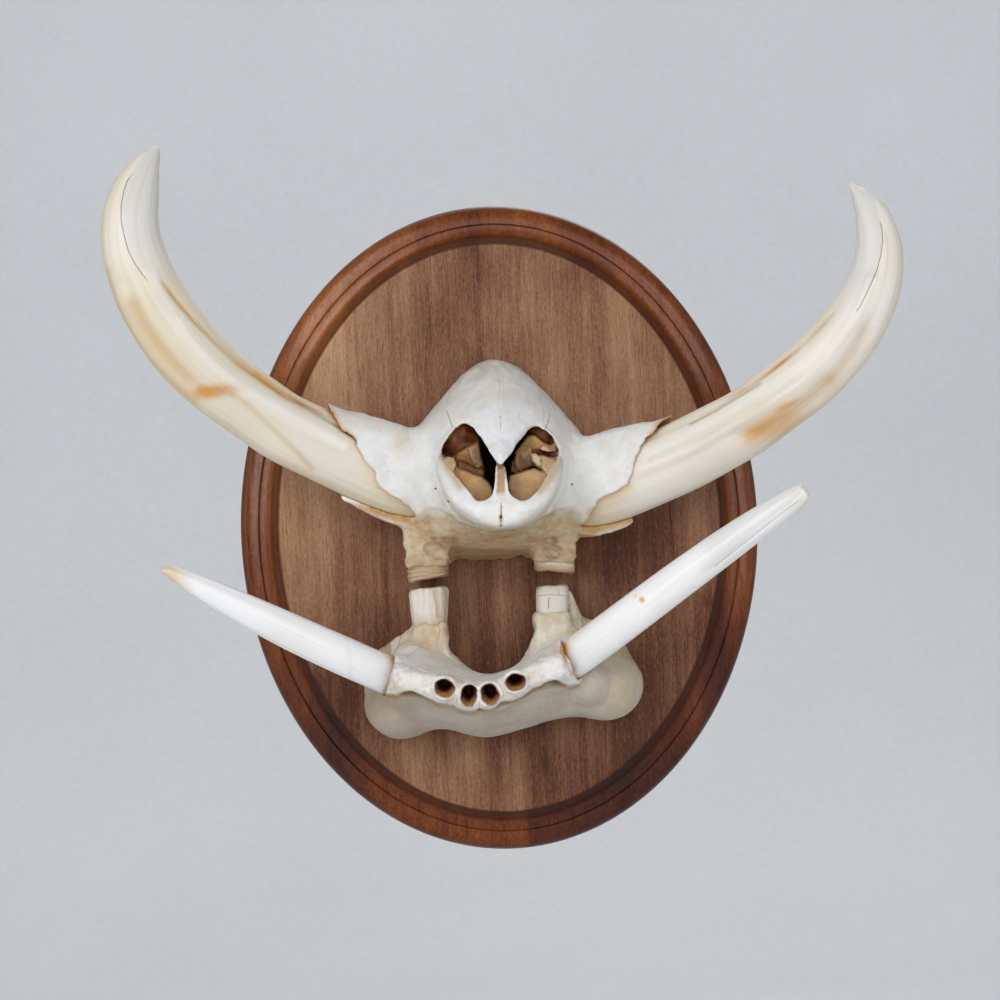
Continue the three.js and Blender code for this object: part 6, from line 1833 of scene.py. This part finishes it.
    # Painted shadow: a tan and umber line just under the overhanging band of sockets; the left of the body below is
    # darkened by painted shade too.
    shadow_under_band = facing * line_of(u_, v_, [(a, b + 1.4) for a, b in BAND_EDGE], 2.0) * lower
    tan = tan + 0.22 * lower * smoothstep(30, 52, p[:, 0]) + 0.20 * lower * smoothstep(-30, -50, p[:, 0]) + 0.10 * lower + 0.46 * shadow_under_band
    tan = tan + 0.30 * facing * smoothstep(452, 444, u_) * smoothstep(655, 640, v_) + 0.05 * lower * np.clip(fleck + cloud, -0.6, 1)
    tan = tan + 0.06 * lower * smoothstep(0.0, 0.5, fleck) + 0.22 * column * smoothstep(0.0, 0.5, fleck + 0.4 * cloud)
    tan = tan + 0.30 * spot_of(u_, v_, (432, 641), 14, 18) * facing
    # In the sockets, painted light and shade: tan and ochre on the upward-facing floor, umber on the walls and deeper
    # in, turning to black at the bottom.
    tan = tan * (1 - in_pit) + in_pit * floor * 0.95
    umber = in_pit * np.clip(0.10 + 1.1 * smoothstep(-92.0, -84, p[:, 1]) + 0.8 * (1 - floor), 0, 1) + 0.24 * shadow_under_band + 0.14 * lower * smoothstep(-18, -46, p[:, 0]) + 0.04 * lower
    deep_shade = in_pit * smoothstep(-86.0, -81.5, p[:, 1]) * 0.45
    ochre = in_pit * (0.3 + 0.45 * floor)
    jl = line_of(u_, v_, [(392, 655), (394, 664), (391, 680), (386, 692)], 1.8)
    jr = line_of(u_, v_, [(563, 645), (564, 657), (568, 668), (576, 678)], 1.9)
    ochre = ochre + facing * (0.75 * jl * smoothstep(672, 655, v_) + 0.25 * jl + 1.0 * jr * smoothstep(670, 652, v_) + 0.25 * jr)
    ochre = ochre + 0.42 * facing * spot_of(u_, v_, (558, 649), 8, 6)
    socket = smoothstep(0.9, 0.25, np.abs(vol.sample(np.minimum(hole_l, hole_r), p)))
    ochre = ochre + 0.45 * socket
    marks = dict(tan=tan, umber=umber, deep_shade=deep_shade, ochre=ochre, cream=cream, grey=grey)
    for key, val in marks.items():
        values(ob, key, np.clip(val, 0, 1))
    values(ob, "seam", seam)
    values(ob, "seamed", np.clip(seamed, 0, 1))
    put(ob, "lower_jaw", BONE)
    return ob


# ------------------------------------------------------------ stage and light
def area_light(name, place, aim, size, power, colour=(1, 1, 1), size_y=None):
    data = bpy.data.lights.new(name, "AREA")
    data.shape = "RECTANGLE"
    data.size, data.size_y = size, size_y or size
    data.energy = power
    data.color = colour
    ob = bpy.data.objects.new(name, data)
    bpy.context.scene.collection.objects.link(ob)
    ob.location = place
    ob.rotation_mode = "QUATERNION"
    ob.rotation_quaternion = (Vector(aim) - Vector(place)).to_track_quat("-Z", "Y")
    ob.visible_camera = False


def build_stage():
    s = Shader("studio_floor")
    cloud = s.noise(s.stretched((3, 3, 3)), 1.0, 3, 0.5)
    speck = s.noise(s.stretched((160, 160, 160)), 1.0, 2, 0.5)
    s.set(Base_Color=s.ramp(s.math("ADD", s.math("MULTIPLY", cloud, 0.5), s.math("MULTIPLY", speck, 0.5)),
                            [(0.3, rgb(222, 223, 225)), (0.7, rgb(231, 232, 234))]),
          Roughness=0.9)
    # A floor that sweeps up into a backdrop far behind.
    floor_z, bend_y, r = -0.46, 1.75, 0.9
    path = [(-4.5, floor_z), (0.0, floor_z), (bend_y, floor_z)]
    for t in np.linspace(0, 1, 17)[1:]:
        path.append((bend_y + r * math.sin(t * math.pi / 2), floor_z + r * (1 - math.cos(t * math.pi / 2))))
    path += [(bend_y + r, 1.6), (bend_y + r, 3.2)]
    xs = [-4.5, -2.0, 0, 2.0, 4.5]
    verts = np.array([(x_ * 1000, a * 1000, b * 1000) for a, b in path for x_ in xs])
    quads = []
    for i in range(len(path) - 1):
        for j in range(len(xs) - 1):
            k = i * len(xs) + j
            quads.append((k, k + 1, k + 1 + len(xs), k + len(xs)))
    ob = make("studio_sweep", verts, np.array(quads), None)
    ob.data.materials.append(s.mat)

    world = bpy.data.worlds.new("studio")
    world.use_nodes = True
    bg = world.node_tree.nodes["Background"]
    bg.inputs[0].default_value = (0.86, 0.90, 0.95, 1)
    bg.inputs[1].default_value = 0.30
    bpy.context.scene.world = world
    area_light("key", (-1.0, -1.95, 0.72), (0, 0, 0), 0.85, 22.0, (0.985, 0.99, 1.0), 1.7)
    area_light("right", (1.05, -1.9, 0.40), (0, 0, 0), 0.6, 7.6, (0.985, 0.99, 1.0), 1.3)
    area_light("front", (0.15, -2.45, 0.75), (0, 0, 0), 1.4, 10.2, (0.97, 0.985, 1.0), 1.4)
    area_light("behind", (0.4, 1.35, 1.35), (0, 0, 0), 1.0, 9.0, (1, 1, 1))
    area_light("side_left", (-2.4, -0.75, 0.35), (0, 0, 0), 0.9, 7.6, (0.985, 0.99, 1.0), 2.0)
    area_light("side_right", (2.4, -0.75, 0.15), (0, 0, 0), 0.9, 6.0, (0.985, 0.99, 1.0), 2.0)
    area_light("backdrop", (0.0, 0.9, 1.9), (0, 2.5, -0.1), 1.8, 13.0, (1, 1, 1))
    bpy.context.scene.view_settings.view_transform = "Standard"


build_plaque()
build_tusks()
build_teeth()
build_screws()
build_hanger()
build_upper_jaw()
build_lower_jaw()
build_stage()
